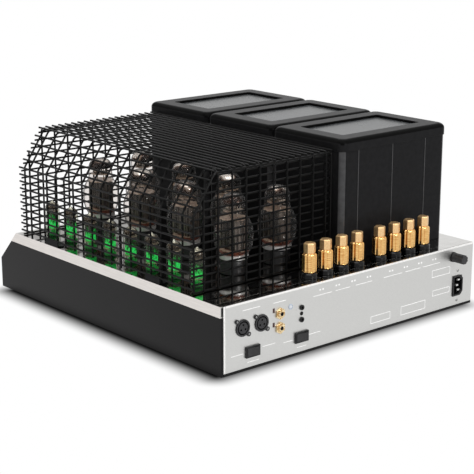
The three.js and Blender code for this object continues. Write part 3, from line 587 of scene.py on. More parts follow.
def softened(mesh: bpy.types.Mesh, angle: float = SHARP_ANGLE) -> None:
    """Shades a mesh smooth over its rounded edges and flat on its flat faces, so that mirrors don't bend.

    Args:
        mesh: the mesh.
        angle: edges sharper than this, in degrees, stay sharp.
    """
    limit = math.cos(math.radians(angle))
    body = bmesh.new()
    body.from_mesh(mesh)
    body.faces.index_update()
    areas = flat_areas(body)
    normals = []
    for face in body.faces:
        for loop in face.loops:
            total = Vector()
            for near in loop.vert.link_faces:
                if near.normal.dot(face.normal) > limit:
                    total += near.normal * areas[near.index]
            normals.append(total.normalized())
    body.free()
    mesh.polygons.foreach_set("use_smooth", [True] * len(mesh.polygons))
    mesh.normals_split_custom_set(normals)
    mesh.update()


class Form:
    """Points and faces of a piece, in millimetres of the row frame."""

    def __init__(self) -> None:
        """Starts with nothing."""
        self.points: list[Vector] = []
        self.faces: list[tuple[int, ...]] = []

    def add(self, points: Sequence[Vector], faces: Sequence[Sequence[int]]) -> "Form":
        """Adds points and faces that count from the first of them."""
        first = len(self.points)
        self.points += [Vector(p) for p in points]
        self.faces += [tuple(first + i for i in face) for face in faces]
        return self

    def loft(self, rings: Sequence[Sequence[Vector]], closed: bool = False) -> "Form":
        """Joins rings of points by faces.

        Args:
            rings: rings with the same number of points, or one point for a pole.
            closed: whether the last ring joins the first, as on a tube with a wall.

        Returns:
            The form itself.
        """
        points: list[Vector] = []
        starts = []
        for ring in rings:
            starts.append(len(points))
            points += list(ring)
        faces: list[tuple[int, ...]] = []
        pairs = list(zip(range(len(rings) - 1), range(1, len(rings))))
        if closed:
            pairs.append((len(rings) - 1, 0))
        for a, b in pairs:
            la, lb, sa, sb = len(rings[a]), len(rings[b]), starts[a], starts[b]
            count = max(la, lb)
            for i in range(count):
                j = (i + 1) % count
                if la == 1:
                    faces.append((sa, sb + j, sb + i))
                elif lb == 1:
                    faces.append((sa + i, sa + j, sb))
                else:
                    faces.append((sa + i, sa + j, sb + j, sb + i))
        if not closed:
            if len(rings[0]) > 1:
                faces.append(tuple(reversed(range(starts[0], starts[0] + len(rings[0])))))
            if len(rings[-1]) > 1:
                faces.append(tuple(range(starts[-1], starts[-1] + len(rings[-1]))))
        return self.add(points, faces)

    def raised(
        self,
        section: Section,
        outline: Section,
        at: Point = (0.0, 0.0, 0.0),
        axis: Axis = Axis.UP,
        closed: bool = False,
    ) -> "Form":
        """Raises a section along a piece's own height, scaled at each level.

        Args:
            section: the section's points at radius 1.
            outline: radius and height of each level.
            at: place of the piece's own origin.
            axis: way that its height points.
            closed: whether the last level joins the first.

        Returns:
            The form itself.
        """
        middle = Vector(at)
        rings = []
        for radius, height in outline:
            if radius < 1e-6:
                rings.append([middle + axis.at(0, 0, height)])
            else:
                rings.append([middle + axis.at(radius * x, radius * y, height) for x, y in section])
        return self.loft(rings, closed)

    def prism(
        self, section: Section, low: float, high: float, at: Point = (0.0, 0.0, 0.0), axis: Axis = Axis.UP
    ) -> "Form":
        """Raises a section straight between two heights."""
        return self.raised(section, ((1.0, low), (1.0, high)), at, axis)

    def block(self, low: Point, high: Point) -> "Form":
        """Adds a box between two corners."""
        section = [(low[0], low[1]), (high[0], low[1]), (high[0], high[1]), (low[0], high[1])]
        return self.prism(section, low[2], high[2])

    def made(self, name: str, finish: Finish, edge: float = 0.0, angle: float = SHARP_ANGLE) -> Piece:
        """Turns the form into an object.

        Args:
            name: the piece's name.
            finish: its finish.
            edge: radius of its rounded edges, in millimetres.
            angle: edges sharper than this, in degrees, are rounded, or stay sharp.

        Returns:
            The object, at the origin.
        """
        mesh = bpy.data.meshes.new(name)
        mesh.from_pydata([p * MM for p in self.points], [], self.faces)
        return finished(name, mesh, finish, edge, angle, angle)

    def place(
        self,
        name: str,
        finish: Finish,
        slot: str,
        edge: float = 0.0,
        nodes: Sequence[str] = (),
        body: str = BASE,
    ) -> None:
        """Turns the form into an object that rides on a body and may stand for CAD nodes."""
        placed(self.made(name, finish, edge), body, slot, *nodes)


def linked(name: str, data: bpy.types.ID) -> Piece:
    """Returns a new object in the scene."""
    made = bpy.data.objects.new(name, data)
    bpy.context.scene.collection.objects.link(made)
    return made


def bare(name: str, paths: Sequence[Sequence[Point]]) -> Piece:
    """Makes an object of points and edges only, for a tree to start from.

    Args:
        name: the object's name.
        paths: points of each path, in millimetres; edges join them in turn.

    Returns:
        The object.
    """
    points, edges = [], []
    for path in paths:
        edges += [(len(points) + i, len(points) + i + 1) for i in range(len(path) - 1)]
        points += [Vector(p) * MM for p in path]
    mesh = bpy.data.meshes.new(name)
    mesh.from_pydata(points, edges, [])
    return linked(name, mesh)


def finished(
    name: str,
    mesh: bpy.types.Mesh,
    finish: Finish,
    edge: float,
    sharp_angle: float,
    shade_angle: float,
    from_cad: bool = False,
) -> Piece:
    """Cleans a mesh, rounds its edges, shades it and makes it an object.

    Args:
        name: the object's name.
        mesh: its mesh.
        finish: its finish.
        edge: radius of its rounded edges in millimetres, and 0 leaves all edges.
        sharp_angle: edges sharper than this, in degrees, are rounded.
        shade_angle: edges sharper than this stay sharp to the eye.
        from_cad: whether the mesh is a CAD node's, whose flat faces are cut into triangles.

    Returns:
        The object.
    """
    body = bmesh.new()
    body.from_mesh(mesh)
    bmesh.ops.remove_doubles(body, verts=body.verts, dist=CAD_WELD if from_cad else WELD)
    if from_cad:
        flat = math.radians(FLAT_ANGLE)
        bmesh.ops.dissolve_limit(body, angle_limit=flat, verts=body.verts, edges=body.edges)
    else:
        bmesh.ops.recalc_face_normals(body, faces=body.faces)
    if edge:
        limit = math.radians(sharp_angle)
        sharp = [e for e in body.edges if e.is_manifold and e.calc_face_angle(0.0) > limit]
        shape = {"offset_type": "OFFSET", "segments": 2, "profile": 0.5, "clamp_overlap": True}
        bmesh.ops.bevel(body, geom=sharp, offset=edge * MM, affect="EDGES", **shape)
    body.to_mesh(mesh)
    body.free()
    softened(mesh, shade_angle)
    mesh.materials.clear()
    mesh.materials.append(finish.material())
    return linked(name, mesh)


def dress(
    node: str,
    name: str,
    finish: Finish,
    edge: float,
    slot: str,
    body: str = BASE,
    other: Finish | None = None,
    zone: Callable[[Face], bool] | None = None,
) -> None:
    """Puts a copy with rounded edges and its own finish in a CAD node's place.

    Args:
        node: the node's name.
        name: the new piece's name.
        finish: its finish.
        edge: radius of its edges, in millimetres.
        slot: the record's material slot; not used.
        body: the CAD body that it rides on.
        other: a second finish for some of its faces.
        zone: says of a face whether it takes that finish.
    """
    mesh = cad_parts[node].data.copy()
    piece = finished(name, mesh, finish, edge, CAD_SHARP_ANGLE, SHARP_ANGLE, from_cad=True)
    if other and zone:
        piece.data.materials.append(other.material())
        for face in piece.data.polygons:
            face.material_index = int(zone(face))
    placed(piece, body, slot, node)


def recoat(node: str, finish: Finish) -> None:
    """Gives a CAD node that is shown as it is another finish."""
    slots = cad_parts[node].data.materials
    slots.clear()
    slots.append(finish.material())


def joined(name: str, pieces: Sequence[Piece]) -> Piece:
    """Puts several objects' meshes into one piece, with their materials.

    Args:
        name: the new piece's name.
        pieces: the objects, which are then gone.

    Returns:
        The new piece.
    """
    with bpy.context.temp_override(
        active_object=pieces[0], object=pieces[0], selected_objects=pieces, selected_editable_objects=pieces
    ):
        bpy.ops.object.join()
    pieces[0].name = name
    pieces[0].data.name = name
    return pieces[0]


def placed(piece: Piece, body: str, slot: str, *nodes: str) -> None:
    """Lets a piece ride on a CAD body, and stand for CAD nodes.

    Args:
        piece: the piece.
        body: the CAD body's name.
        slot: the record's material slot; not used.
        nodes: CAD nodes that the piece stands for.
    """
    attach(piece, body)
    if nodes:
        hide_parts(*nodes)
    LOG.info("%s on %s: %d faces", piece.name, body, len(piece.data.polygons))


class GrownTree:
    """Geometry Nodes tree with named inputs, and the work of running it on a piece."""

    def __init__(self, name: str, **inputs: str) -> None:
        """Starts a tree.

        Args:
            name: the tree's name.
            inputs: type of each input between the geometry and the material, by its name.
        """
        self.tree = bpy.data.node_groups.new(name, "GeometryNodeTree")
        face = self.tree.interface
        self.keys = {}
        for label, kind in {"Geometry": "Geometry", **inputs, "Material": "Material"}.items():
            made = face.new_socket(label, in_out="INPUT", socket_type=f"NodeSocket{kind}")
            self.keys[label] = made.identifier
        face.new_socket("Geometry", in_out="OUTPUT", socket_type="NodeSocketGeometry")
        self.entry = self.tree.nodes.new("NodeGroupInput").outputs

    def row(self) -> Socket:
        """Adds a row of points at the tree's step and returns its output."""
        links = {"Count": self.entry["Count"], "Offset": self.entry["Step"]}
        return add_node(self.tree, "GeometryNodeMeshLine", links, mode="OFFSET").outputs[0]

    def end(self, points: Socket, shape: Socket) -> "GrownTree":
        """Ends the tree: copies of a shape at points become real and take their material.

        Args:
            points: the output with the points.
            shape: the output with what stands at each.

        Returns:
            The tree itself.
        """
        copies = add_node(self.tree, "GeometryNodeInstanceOnPoints", {"Points": points, "Instance": shape})
        real = add_node(self.tree, "GeometryNodeRealizeInstances", {"Geometry": copies.outputs[0]})
        links = {"Geometry": real.outputs[0], "Material": self.entry["Material"]}
        coated = add_node(self.tree, "GeometryNodeSetMaterial", links)
        add_node(self.tree, "NodeGroupOutput", {0: coated.outputs[0]})
        return self

    def grow(self, name: str, seed: Piece, finish: Finish, **values: object) -> Piece:
        """Runs the tree on an object.

        Args:
            name: the new piece's name.
            seed: the object that the tree starts from, which is then gone.
            finish: the piece's finish.
            values: the tree's inputs by name.

        Returns:
            The piece as a plain mesh.
        """
        modifier = seed.modifiers.new(self.tree.name, "NODES")
        modifier.node_group = self.tree
        for label, value in {"Material": finish.material(), **values}.items():
            modifier[self.keys[label]] = value
        graph = bpy.context.evaluated_depsgraph_get()
        mesh = bpy.data.meshes.new_from_object(seed.evaluated_get(graph), depsgraph=graph)
        seed.modifiers.clear()
        bpy.data.objects.remove(seed)
        mesh.name = name
        softened(mesh)
        return linked(name, mesh)


def wire_tree() -> GrownTree:
    """Makes the tree that turns paths into bent wires and repeats them at a pitch."""
    grown = GrownTree("bent_wires", Radius="Float", Bend="Float", Count="Int", Step="Vector")
    tree, entry = grown.tree, grown.entry
    path = add_node(tree, "GeometryNodeMeshToCurve", {"Mesh": entry["Geometry"]})
    links = {"Curve": path.outputs[0], "Count": 3, "Radius": entry["Bend"], "Limit Radius": True}
    bent = add_node(tree, "GeometryNodeFilletCurve", links, mode="POLY")
    links = {"Resolution": 7, "Radius": entry["Radius"]}
    section = add_node(tree, "GeometryNodeCurvePrimitiveCircle", links)
    links = {"Curve": bent.outputs[0], "Profile Curve": section.outputs[0], "Fill Caps": True}
    wire = add_node(tree, "GeometryNodeCurveToMesh", links)
    return grown.end(grown.row(), wire.outputs[0])


def row_tree() -> GrownTree:
    """Makes the tree that repeats a piece in a straight row."""
    grown = GrownTree("pieces_in_a_row", Count="Int", Step="Vector")
    return grown.end(grown.row(), grown.entry["Geometry"])


def places_tree() -> GrownTree:
    """Makes the tree that sets a piece out at the points of another object."""
    grown = GrownTree("pieces_at_places", Places="Object")
    places = add_node(grown.tree, "GeometryNodeObjectInfo", {"Object": grown.entry["Places"]})
    return grown.end(places.outputs["Geometry"], grown.entry["Geometry"])


@dataclass
class Trees:
    """The trees that all sub-assemblies share."""

    wires: GrownTree = field(default_factory=wire_tree)
    row: GrownTree = field(default_factory=row_tree)
    places: GrownTree = field(default_factory=places_tree)

    def set_out(self, name: str, form: Form, finish: Finish, at: Sequence[Point]) -> Piece:
        """Sets a form out at several places.

        Args:
            name: the new piece's name.
            form: the form at the origin.
            finish: its finish.
            at: the places, in millimetres.

        Returns:
            The copies as one piece.
        """
        points = bare("places", [[place] for place in at])
        made = self.places.grow(name, form.made("seed", finish), finish, Places=points)
        bpy.data.objects.remove(points)
        return made

    def in_row(
        self, name: str, form: Form, finish: Finish, count: int, step: Point, edge: float = 0.0
    ) -> Piece:
        """Repeats a form in a row, with the step in millimetres, and returns the copies as one piece."""
        seed = form.made("seed", finish, edge)
        return self.row.grow(name, seed, finish, Count=count, Step=[s * MM for s in step])

    def wired(
        self,
        name: str,
        paths: Sequence[Sequence[Point]],
        finish: Finish,
        diameter: float,
        bend: float,
        count: int = 1,
        step: Point = (0.0, 0.0, 0.0),
    ) -> Piece:
        """Makes wires along paths.

        Args:
            name: the new piece's name.
            paths: the paths' points, in millimetres.
            finish: the wires' finish.
            diameter: of the wire.
            bend: radius at each bend.
            count: copies of the paths.
            step: from one copy to the next.

        Returns:
            The wires as one piece.
        """
        sizes = {"Radius": diameter / 2 * MM, "Bend": bend * MM, "Step": [s * MM for s in step]}
        return self.wires.grow(name, bare("paths", paths), finish, Count=count, **sizes)


def middle_of(node: str) -> Vector:
    """Returns the middle of a CAD node's box, in millimetres."""
    low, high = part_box(node)
    return (low + high) / (2 * MM)


def span_of(node: str) -> tuple[Vector, Vector]:
    """Returns the corners of a CAD node's box, in millimetres."""
    low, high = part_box(node)
    return low / MM, high / MM


def stand_of(node: str) -> tuple[Point, float]:
    """Returns the middle of the underside of a CAD node's box, and the box's height, in millimetres."""
    low, high = span_of(node)
    return ((low.x + high.x) / 2, (low.y + high.y) / 2, low.z), high.z - low.z


@dataclass
class Chassis:
    """Folded shell, name plate, connector panel, cover, board and feet."""

    deck: float = 90.0
    fold_radius: float = 0.7
    plate_edge: float = 0.6
    feet: int = 4
    foot_radius: float = 15.0
    foot_edge: float = 1.5
    foot_hollow: float = 6.0
    foot_height: float = 4.7
    foot_pin: float = 4.0
    foot_step: float = 1.0
    foot_taper: float = 0.5
    seam: float = 1.6
    seam_inset: float = 1.0
    seam_sink: float = 0.5
    seam_rise: float = 0.03

    def sheets(self) -> None:
        """Dresses the mirror-polished shell with its pale lip and end, the name plate and the panel."""
        dress(
            "chassis_shell", "polished_shell", POLISHED_STAINLESS, self.fold_radius, "polished_steel",
            other=GROUND_STAINLESS, zone=lambda face: face.normal.y < -0.5 or face.normal.x < -0.3,
        )
        dress("front_plate", "name_plate", BLACK_GLASS, self.plate_edge, "black_glass")
        dress(
            "connector_panel", "ground_connector_panel", PANEL_STAINLESS, self.fold_radius, "satin_steel",
            other=POLISHED_STAINLESS, zone=lambda face: face.normal.z > 0.98,
        )
        low, high = span_of("connector_panel")
        half = self.seam / 2
        near = (low.x - half, low.y + self.seam_inset, self.deck - self.seam_sink)
        far = (low.x + half, high.y - self.seam_inset, self.deck + self.seam_rise)
        Form().block(near, far).place("ground_weld_seam", POLISHED_STAINLESS, "polished_steel")

    def underside(self) -> None:
        """Gives the cover and the board their finishes, and makes the feet."""
        recoat("bottom_cover", BLACK_SHEET)
        recoat("tube_socket_board", LAMINATE)
        r, hollow, height, pin = self.foot_radius, self.foot_hollow, self.foot_height, self.foot_pin
        step, edge = self.foot_step, self.foot_edge
        nodes = [f"foot_{number}" for number in range(1, self.feet + 1)]
        form = Form()
        for node in nodes:
            at, rise = stand_of(node)
            outline = (
                (0.0, step), (hollow, step), (hollow + step, 0.0), (r - edge, 0.0), (r, edge),
                (r - self.foot_taper, height), (pin, height), (pin, rise), (0.0, rise),
            )
            form.raised(circle(36), outline, at)
        form.place("moulded_feet", FOOT_RUBBER, "rubber", nodes=nodes)

    def build(self, trees: Trees) -> None:
        """Makes the sub-assembly's pieces."""
        self.sheets()
        self.underside()


@dataclass
class WireCage:
    """Welded wire cage: one sheet bent over front, slope and top, and two side grilles."""

    wire: float = 2.6
    weld_sink: float = 0.4
    profile_pitch: float = 20.55
    profile_count: int = 18
    edge_inset: float = 7.0
    front_pitch: float = 9.64
    front_rows: int = 10
    slope_rows: int = 5
    top_pitch: float = 10.5
    top_rows: int = 18
    line_pitch: float = 9.75
    line_rows: int = 15
    line_overrun: float = 1.0
    # First place along Y, pitch and count of each side's uprights; the right side has one more at its back.
    left_uprights: tuple[float, float, int] = (-202.6, 20.9, 11)
    right_uprights: tuple[float, float, int] = (-2.9, -21.86, 10)
    sheet_bend: float = 5.0
    side_bend: float = 6.5
    tab: float = 9.0
    left_end: float = 2.5
    right_end: float = 1.0
    clip_width: float = 29.0
    clip_thickness: float = 1.2
    clip_rise: float = 7.0
    clip_place: float = 110.0
    clip_edge: float = 0.3

    def measure(self) -> None:
        """Reads the cage's planes from its CAD nodes."""
        front_low, front_high = span_of("cage_front_grille")
        top_low, top_high = span_of("cage_top_grille")
        left_low, _ = span_of("cage_left_grille")
        _, right_high = span_of("cage_right_grille")
        half = self.wire / 2
        self.left = left_low.x + half
        self.right = right_high.x - half
        self.front = left_low.y + half
        self.foot = front_low.z + half
        self.shoulder = front_high.z
        self.roof = top_high.z - half
        self.roof_front = top_low.y
        self.back = top_high.y - half
        self.run = self.roof_front - self.front
        self.rise = self.roof - self.shoulder
        self.inner = self.wire - self.weld_sink

    def profile(self, depth: float) -> list[Pair]:
        """Gives the bent sheet's line from its foot to its back.

        Args:
            depth: how far inside the outer wires the line runs.

        Returns:
            Y and Z of each bend.
        """
        length = math.hypot(self.run, self.rise)
        lean = depth * (length - self.run) / self.rise
        drop = depth * (length - self.rise) / self.run
        return [
            (self.front + depth, self.foot),
            (self.front + depth, self.shoulder + drop),
            (self.roof_front + lean, self.roof - depth),
            (self.back, self.roof - depth),
        ]

    def bent_sheet(self, trees: Trees) -> None:
        """Makes the sheet over front, slope and top."""
        far = self.right - (self.profile_count - 1) * self.profile_pitch
        parts = []
        for name, x, count in (
            ("profile_wires", far, self.profile_count),
            ("edge_wire", self.left + self.edge_inset, 1),
        ):
            line = [(x, y, z) for y, z in self.profile(self.inner)]
            step = (self.profile_pitch, 0, 0)
            parts.append(trees.wired(name, [line], CAGE_ENAMEL, self.wire, self.sheet_bend, count, step))
        slope = Vector((self.run, self.rise)) / self.slope_rows
        for name, y, z, rows, step in (
            ("front", self.front, self.shoulder, self.front_rows, (0, 0, -self.front_pitch)),
            ("slope", self.front + slope.x, self.shoulder + slope.y, self.slope_rows, (0, slope.x, slope.y)),
            ("top", self.back, self.roof, self.top_rows, (0, -self.top_pitch, 0)),
        ):
            name = f"{name}_cross_wires"
            across = [(self.left - self.left_end, y, z), (self.right + self.right_end, y, z)]
            parts.append(trees.wired(name, [across], CAGE_ENAMEL, self.wire, 0.0, rows, step))
        nodes = ("cage_front_grille", "cage_slope_grille", "cage_top_grille")
        placed(joined("bent_wire_sheet", parts), "cage", "black_wire", *nodes)

    def side_sheet(self, trees: Trees, side: Side) -> None:
        """Makes one side grille, with its uprights bent over the top.

        Args:
            trees: the shared trees.
            side: which one.
        """
        if side is Side.LEFT:
            plane, (first, pitch, count), last = self.left, self.left_uprights, []
        else:
            plane, (first, pitch, count), last = self.right, self.right_uprights, [self.back]
        uprights = []
        for y in [first + pitch * number for number in range(count)] + last:
            top = self.shoulder + min((y - self.front) / self.run, 1.0) * self.rise
            uprights.append([(plane, y, self.foot), (plane, y, top)])
            if y > self.roof_front:
                uprights[-1].append((plane - side.value * self.tab, y, top))
        inside = plane - side.value * self.inner
        lines = []
        for number in range(self.line_rows):
            level = self.foot + number * self.line_pitch
            start = self.front + max(0.0, (level - self.shoulder) / self.rise) * self.run
            lines.append([(inside, start, level), (inside, self.back + self.line_overrun, level)])
        parts = [
            trees.wired("side_uprights", uprights, CAGE_ENAMEL, self.wire, self.side_bend),
            trees.wired("side_lines", lines, CAGE_ENAMEL, self.wire, 0.0),
        ]
        name = side.name.lower()
        placed(joined(f"{name}_wire_sheet", parts), "cage", "black_wire", f"cage_{name}_grille")

    def brackets(self) -> None:
        """Makes the two welded brackets that stand on the deck's front edge."""
        low, high = span_of("cage_front_grille")
        form = Form()
        for way in (-1, 1):
            x = (self.left + self.right) / 2 + way * self.clip_place
            near, far = x - self.clip_width / 2, x + self.clip_width / 2
            form.block((near, low.y, low.z), (far, low.y + self.clip_thickness, low.z + self.clip_rise))
            form.block((near, low.y, low.z), (far, high.y, low.z + self.clip_thickness))
        form.place("cage_brackets", CAN_ENAMEL, "black_wire", self.clip_edge, body="cage")

    def build(self, trees: Trees) -> None:
        """Makes the sub-assembly's pieces."""
        self.measure()
        self.bent_sheet(trees)
        for side in Side:
            self.side_sheet(trees, side)
        self.brackets()


@dataclass
class Transformers:
    """Three drawn cans with rounded caps and grey glass plates."""

    count: int = 3
    cap_height: float = 15.6
    cap_round: float = 7.0
    cap_steps: int = 6
    cap_corner: float = 10.0
    cap_bevel: float = 0.4
    cap_bevel_height: float = 0.5
    cap_corner_share: float = 0.5
    ceiling: float = 12.0
    overhang: float = 1.2
    wall: float = 2.5
    glass_margin: float = 27.0
    glass_recess: float = 6.0
    glass_edge: float = 0.5
    glass_corner: float = 2.0
    lip: float = 1.0
    beads: int = 3
    bead_pitch: float = 62.0
    bead_shift: float = -6.0
    bead_width: float = 1.2
    bead_rise: float = 0.5
    bead_sink: float = 0.5
    bead_edge: float = 0.3

    def stacked(self, node: str, levels: Sequence[Point]) -> Form:
        """Stacks rounded rectangles into a closed form.

        Args:
            node: the CAD node whose box gives the widest of them.
            levels: inset, corner radius and height of each.

        Returns:
            The form.
        """
        low, high = span_of(node)
        middle, size = (low + high) / 2, high - low
        rings = []
        for inset, corner, height in levels:
            section = rounded_rectangle(size.x - 2 * inset, size.y - 2 * inset, corner, 6)
            rings.append([Vector((middle.x + x, middle.y + y, height)) for x, y in section])
        return Form().loft(rings)

    def can(self, number: int) -> None:
        """Makes one can.

        Args:
            number: from 1, at the left.
        """
        node = f"transformer_housing_{number}"
        low, high = span_of(node)
        middle, size = (low + high) / 2, high - low
        skirt, corner = high.z - self.cap_height, self.cap_corner - self.overhang
        levels = [
            (self.overhang + self.wall, corner - self.wall, high.z - self.ceiling),
            (self.overhang + self.wall, corner - self.wall, low.z),
            (self.overhang, corner, low.z),
            (self.overhang, corner, skirt),
            (self.cap_bevel, self.cap_corner - self.cap_bevel, skirt),
            (0.0, self.cap_corner, skirt + self.cap_bevel_height),
        ]
        for i in range(self.cap_steps + 1):
            angle = math.radians(90 * i / self.cap_steps)
            inset = self.cap_round * (1 - math.cos(angle))
            rise = self.cap_round * (math.sin(angle) - 1)
            levels.append((inset, self.cap_corner - inset * self.cap_corner_share, high.z + rise))
        levels += [
            (self.glass_margin - self.lip, self.glass_corner + self.lip, high.z),
            (self.glass_margin, self.glass_corner, high.z - self.lip),
            (self.glass_margin, self.glass_corner, high.z - self.glass_recess),
        ]
        can = self.stacked(node, levels).made(f"drawn_can_{number}", CAN_ENAMEL, angle=25)
        for finish in (SHOULDER_PAINTED_SHADE, CORNER_PAINTED_HIGHLIGHT):
            can.data.materials.append(finish.material())
        opening = [side / 2 - self.glass_margin + 2 * self.lip for side in size.xy]
        for face in can.data.polygons:
            off, turn = face.center / MM - middle, face.normal
            recess = abs(off.x) < opening[0] and abs(off.y) < opening[1] and turn.z < 0.9
            if off.z + middle.z < skirt:
                # The upright corners below the skirt take the painted highlight.
                face.material_index = 2 if min(abs(turn.x), abs(turn.y)) > 0.3 else 0
            # The cap's shoulder and its recess take the painted shade.
            elif recess or 0.15 < turn.z < 0.93:
                face.material_index = 1
        placed(can, BASE, "black_paint", node)
        recoat(f"transformer_core_{number}", POTTING)

    def plate(self, number: int) -> None:
        """Makes the grey glass plate in one can's cap."""
        node = f"transformer_top_glass_{number}"
        low, high = span_of(node)
        heights = ((0.0, low.z), (0.0, high.z - self.glass_edge), (self.glass_edge, high.z))
        form = self.stacked(node, [(inset, self.glass_corner, height) for inset, height in heights])
        form.place(f"grey_glass_plate_{number}", GREY_GLASS, "grey_glass", nodes=[node])

    def bead_lines(self, trees: Trees) -> None:
        """Makes the fine upright beads on both long sides of each can, lighter with a painted highlight."""
        parts = []
        half = self.bead_width / 2
        for number in range(1, self.count + 1):
            low, high = span_of(f"transformer_housing_{number}")
            middle = (low.y + high.y) / 2 + self.bead_shift - self.bead_pitch
            top = high.z - self.cap_height
            form = Form()
            for face, way in ((low.x + self.overhang, -1), (high.x - self.overhang, 1)):
                near, far = sorted((face - way * self.bead_sink, face + way * self.bead_rise))
                form.block((near, middle - half, low.z), (far, middle + half, top))
            step = (0, self.bead_pitch, 0)
            parts.append(trees.in_row("beads", form, BEAD_PAINTED_HIGHLIGHT, self.beads, step, self.bead_edge))
        placed(joined("can_beads", parts), BASE, "black_paint")

    def build(self, trees: Trees) -> None:
        """Makes the sub-assembly's pieces."""
        for number in range(1, self.count + 1):
            self.can(number)
            self.plate(number)
        self.bead_lines(trees)


@dataclass
class Tubes:
    """Tubes of one kind, all alike, with one piece for each of their parts."""

    kind: str
    radius: float
    # Of each point of the bulb: share of the radius, height, and how the height moves with a gap.
    bulb: tuple[Point, ...]
    count: int = 8

    def outline(self, gap: float) -> list[Pair]:
        """Gives the bulb's profile.

        Args:
            gap: how far inside the glass's outside the line runs.

        Returns:
            Radius and height of each point, over the deck.
        """
        r = self.radius - gap
        return smooth_outline([(share * r, height + move * gap) for share, height, move in self.bulb], 4)

    def flash(self, gap: float, low: float, share: float, wall: float, sides: int) -> Form:
        """Makes the getter's flash on the inside of the dome.

        Args:
            gap: from the glass's outside to the flash.
            low: height at which it begins, over the deck.
            share: of its inner radius in its outer one.
            wall: its thickness at the top.
            sides: of its round section.

        Returns:
            The form.
        """
        dome = [point for point in self.outline(gap) if point[1] > low]
        inner = [(r * share, height - wall) for r, height in reversed(dome[:-1])]
        return Form().raised(circle(sides), dome + inner)

    def parts(self) -> list[tuple[str, Form, Finish, str]]:
        """Returns name, form, finish and slot of each part of one tube, over the deck, the bulb last."""
        raise NotImplementedError

    def build(self, trees: Trees) -> None:
        """Makes the sub-assembly's pieces, of which the bulbs stand for the CAD nodes."""
        nodes = [f"{self.kind}_tube_{number}" for number in range(1, self.count + 1)]
        places = [(middle_of(node).x, middle_of(node).y, Chassis.deck) for node in nodes]
        parts = self.parts()
        for label, form, finish, slot in parts:
            piece = trees.set_out(f"{self.kind}_{label}", form, finish, places)
            placed(piece, BASE, slot, *(nodes if label == parts[-1][0] else ()))


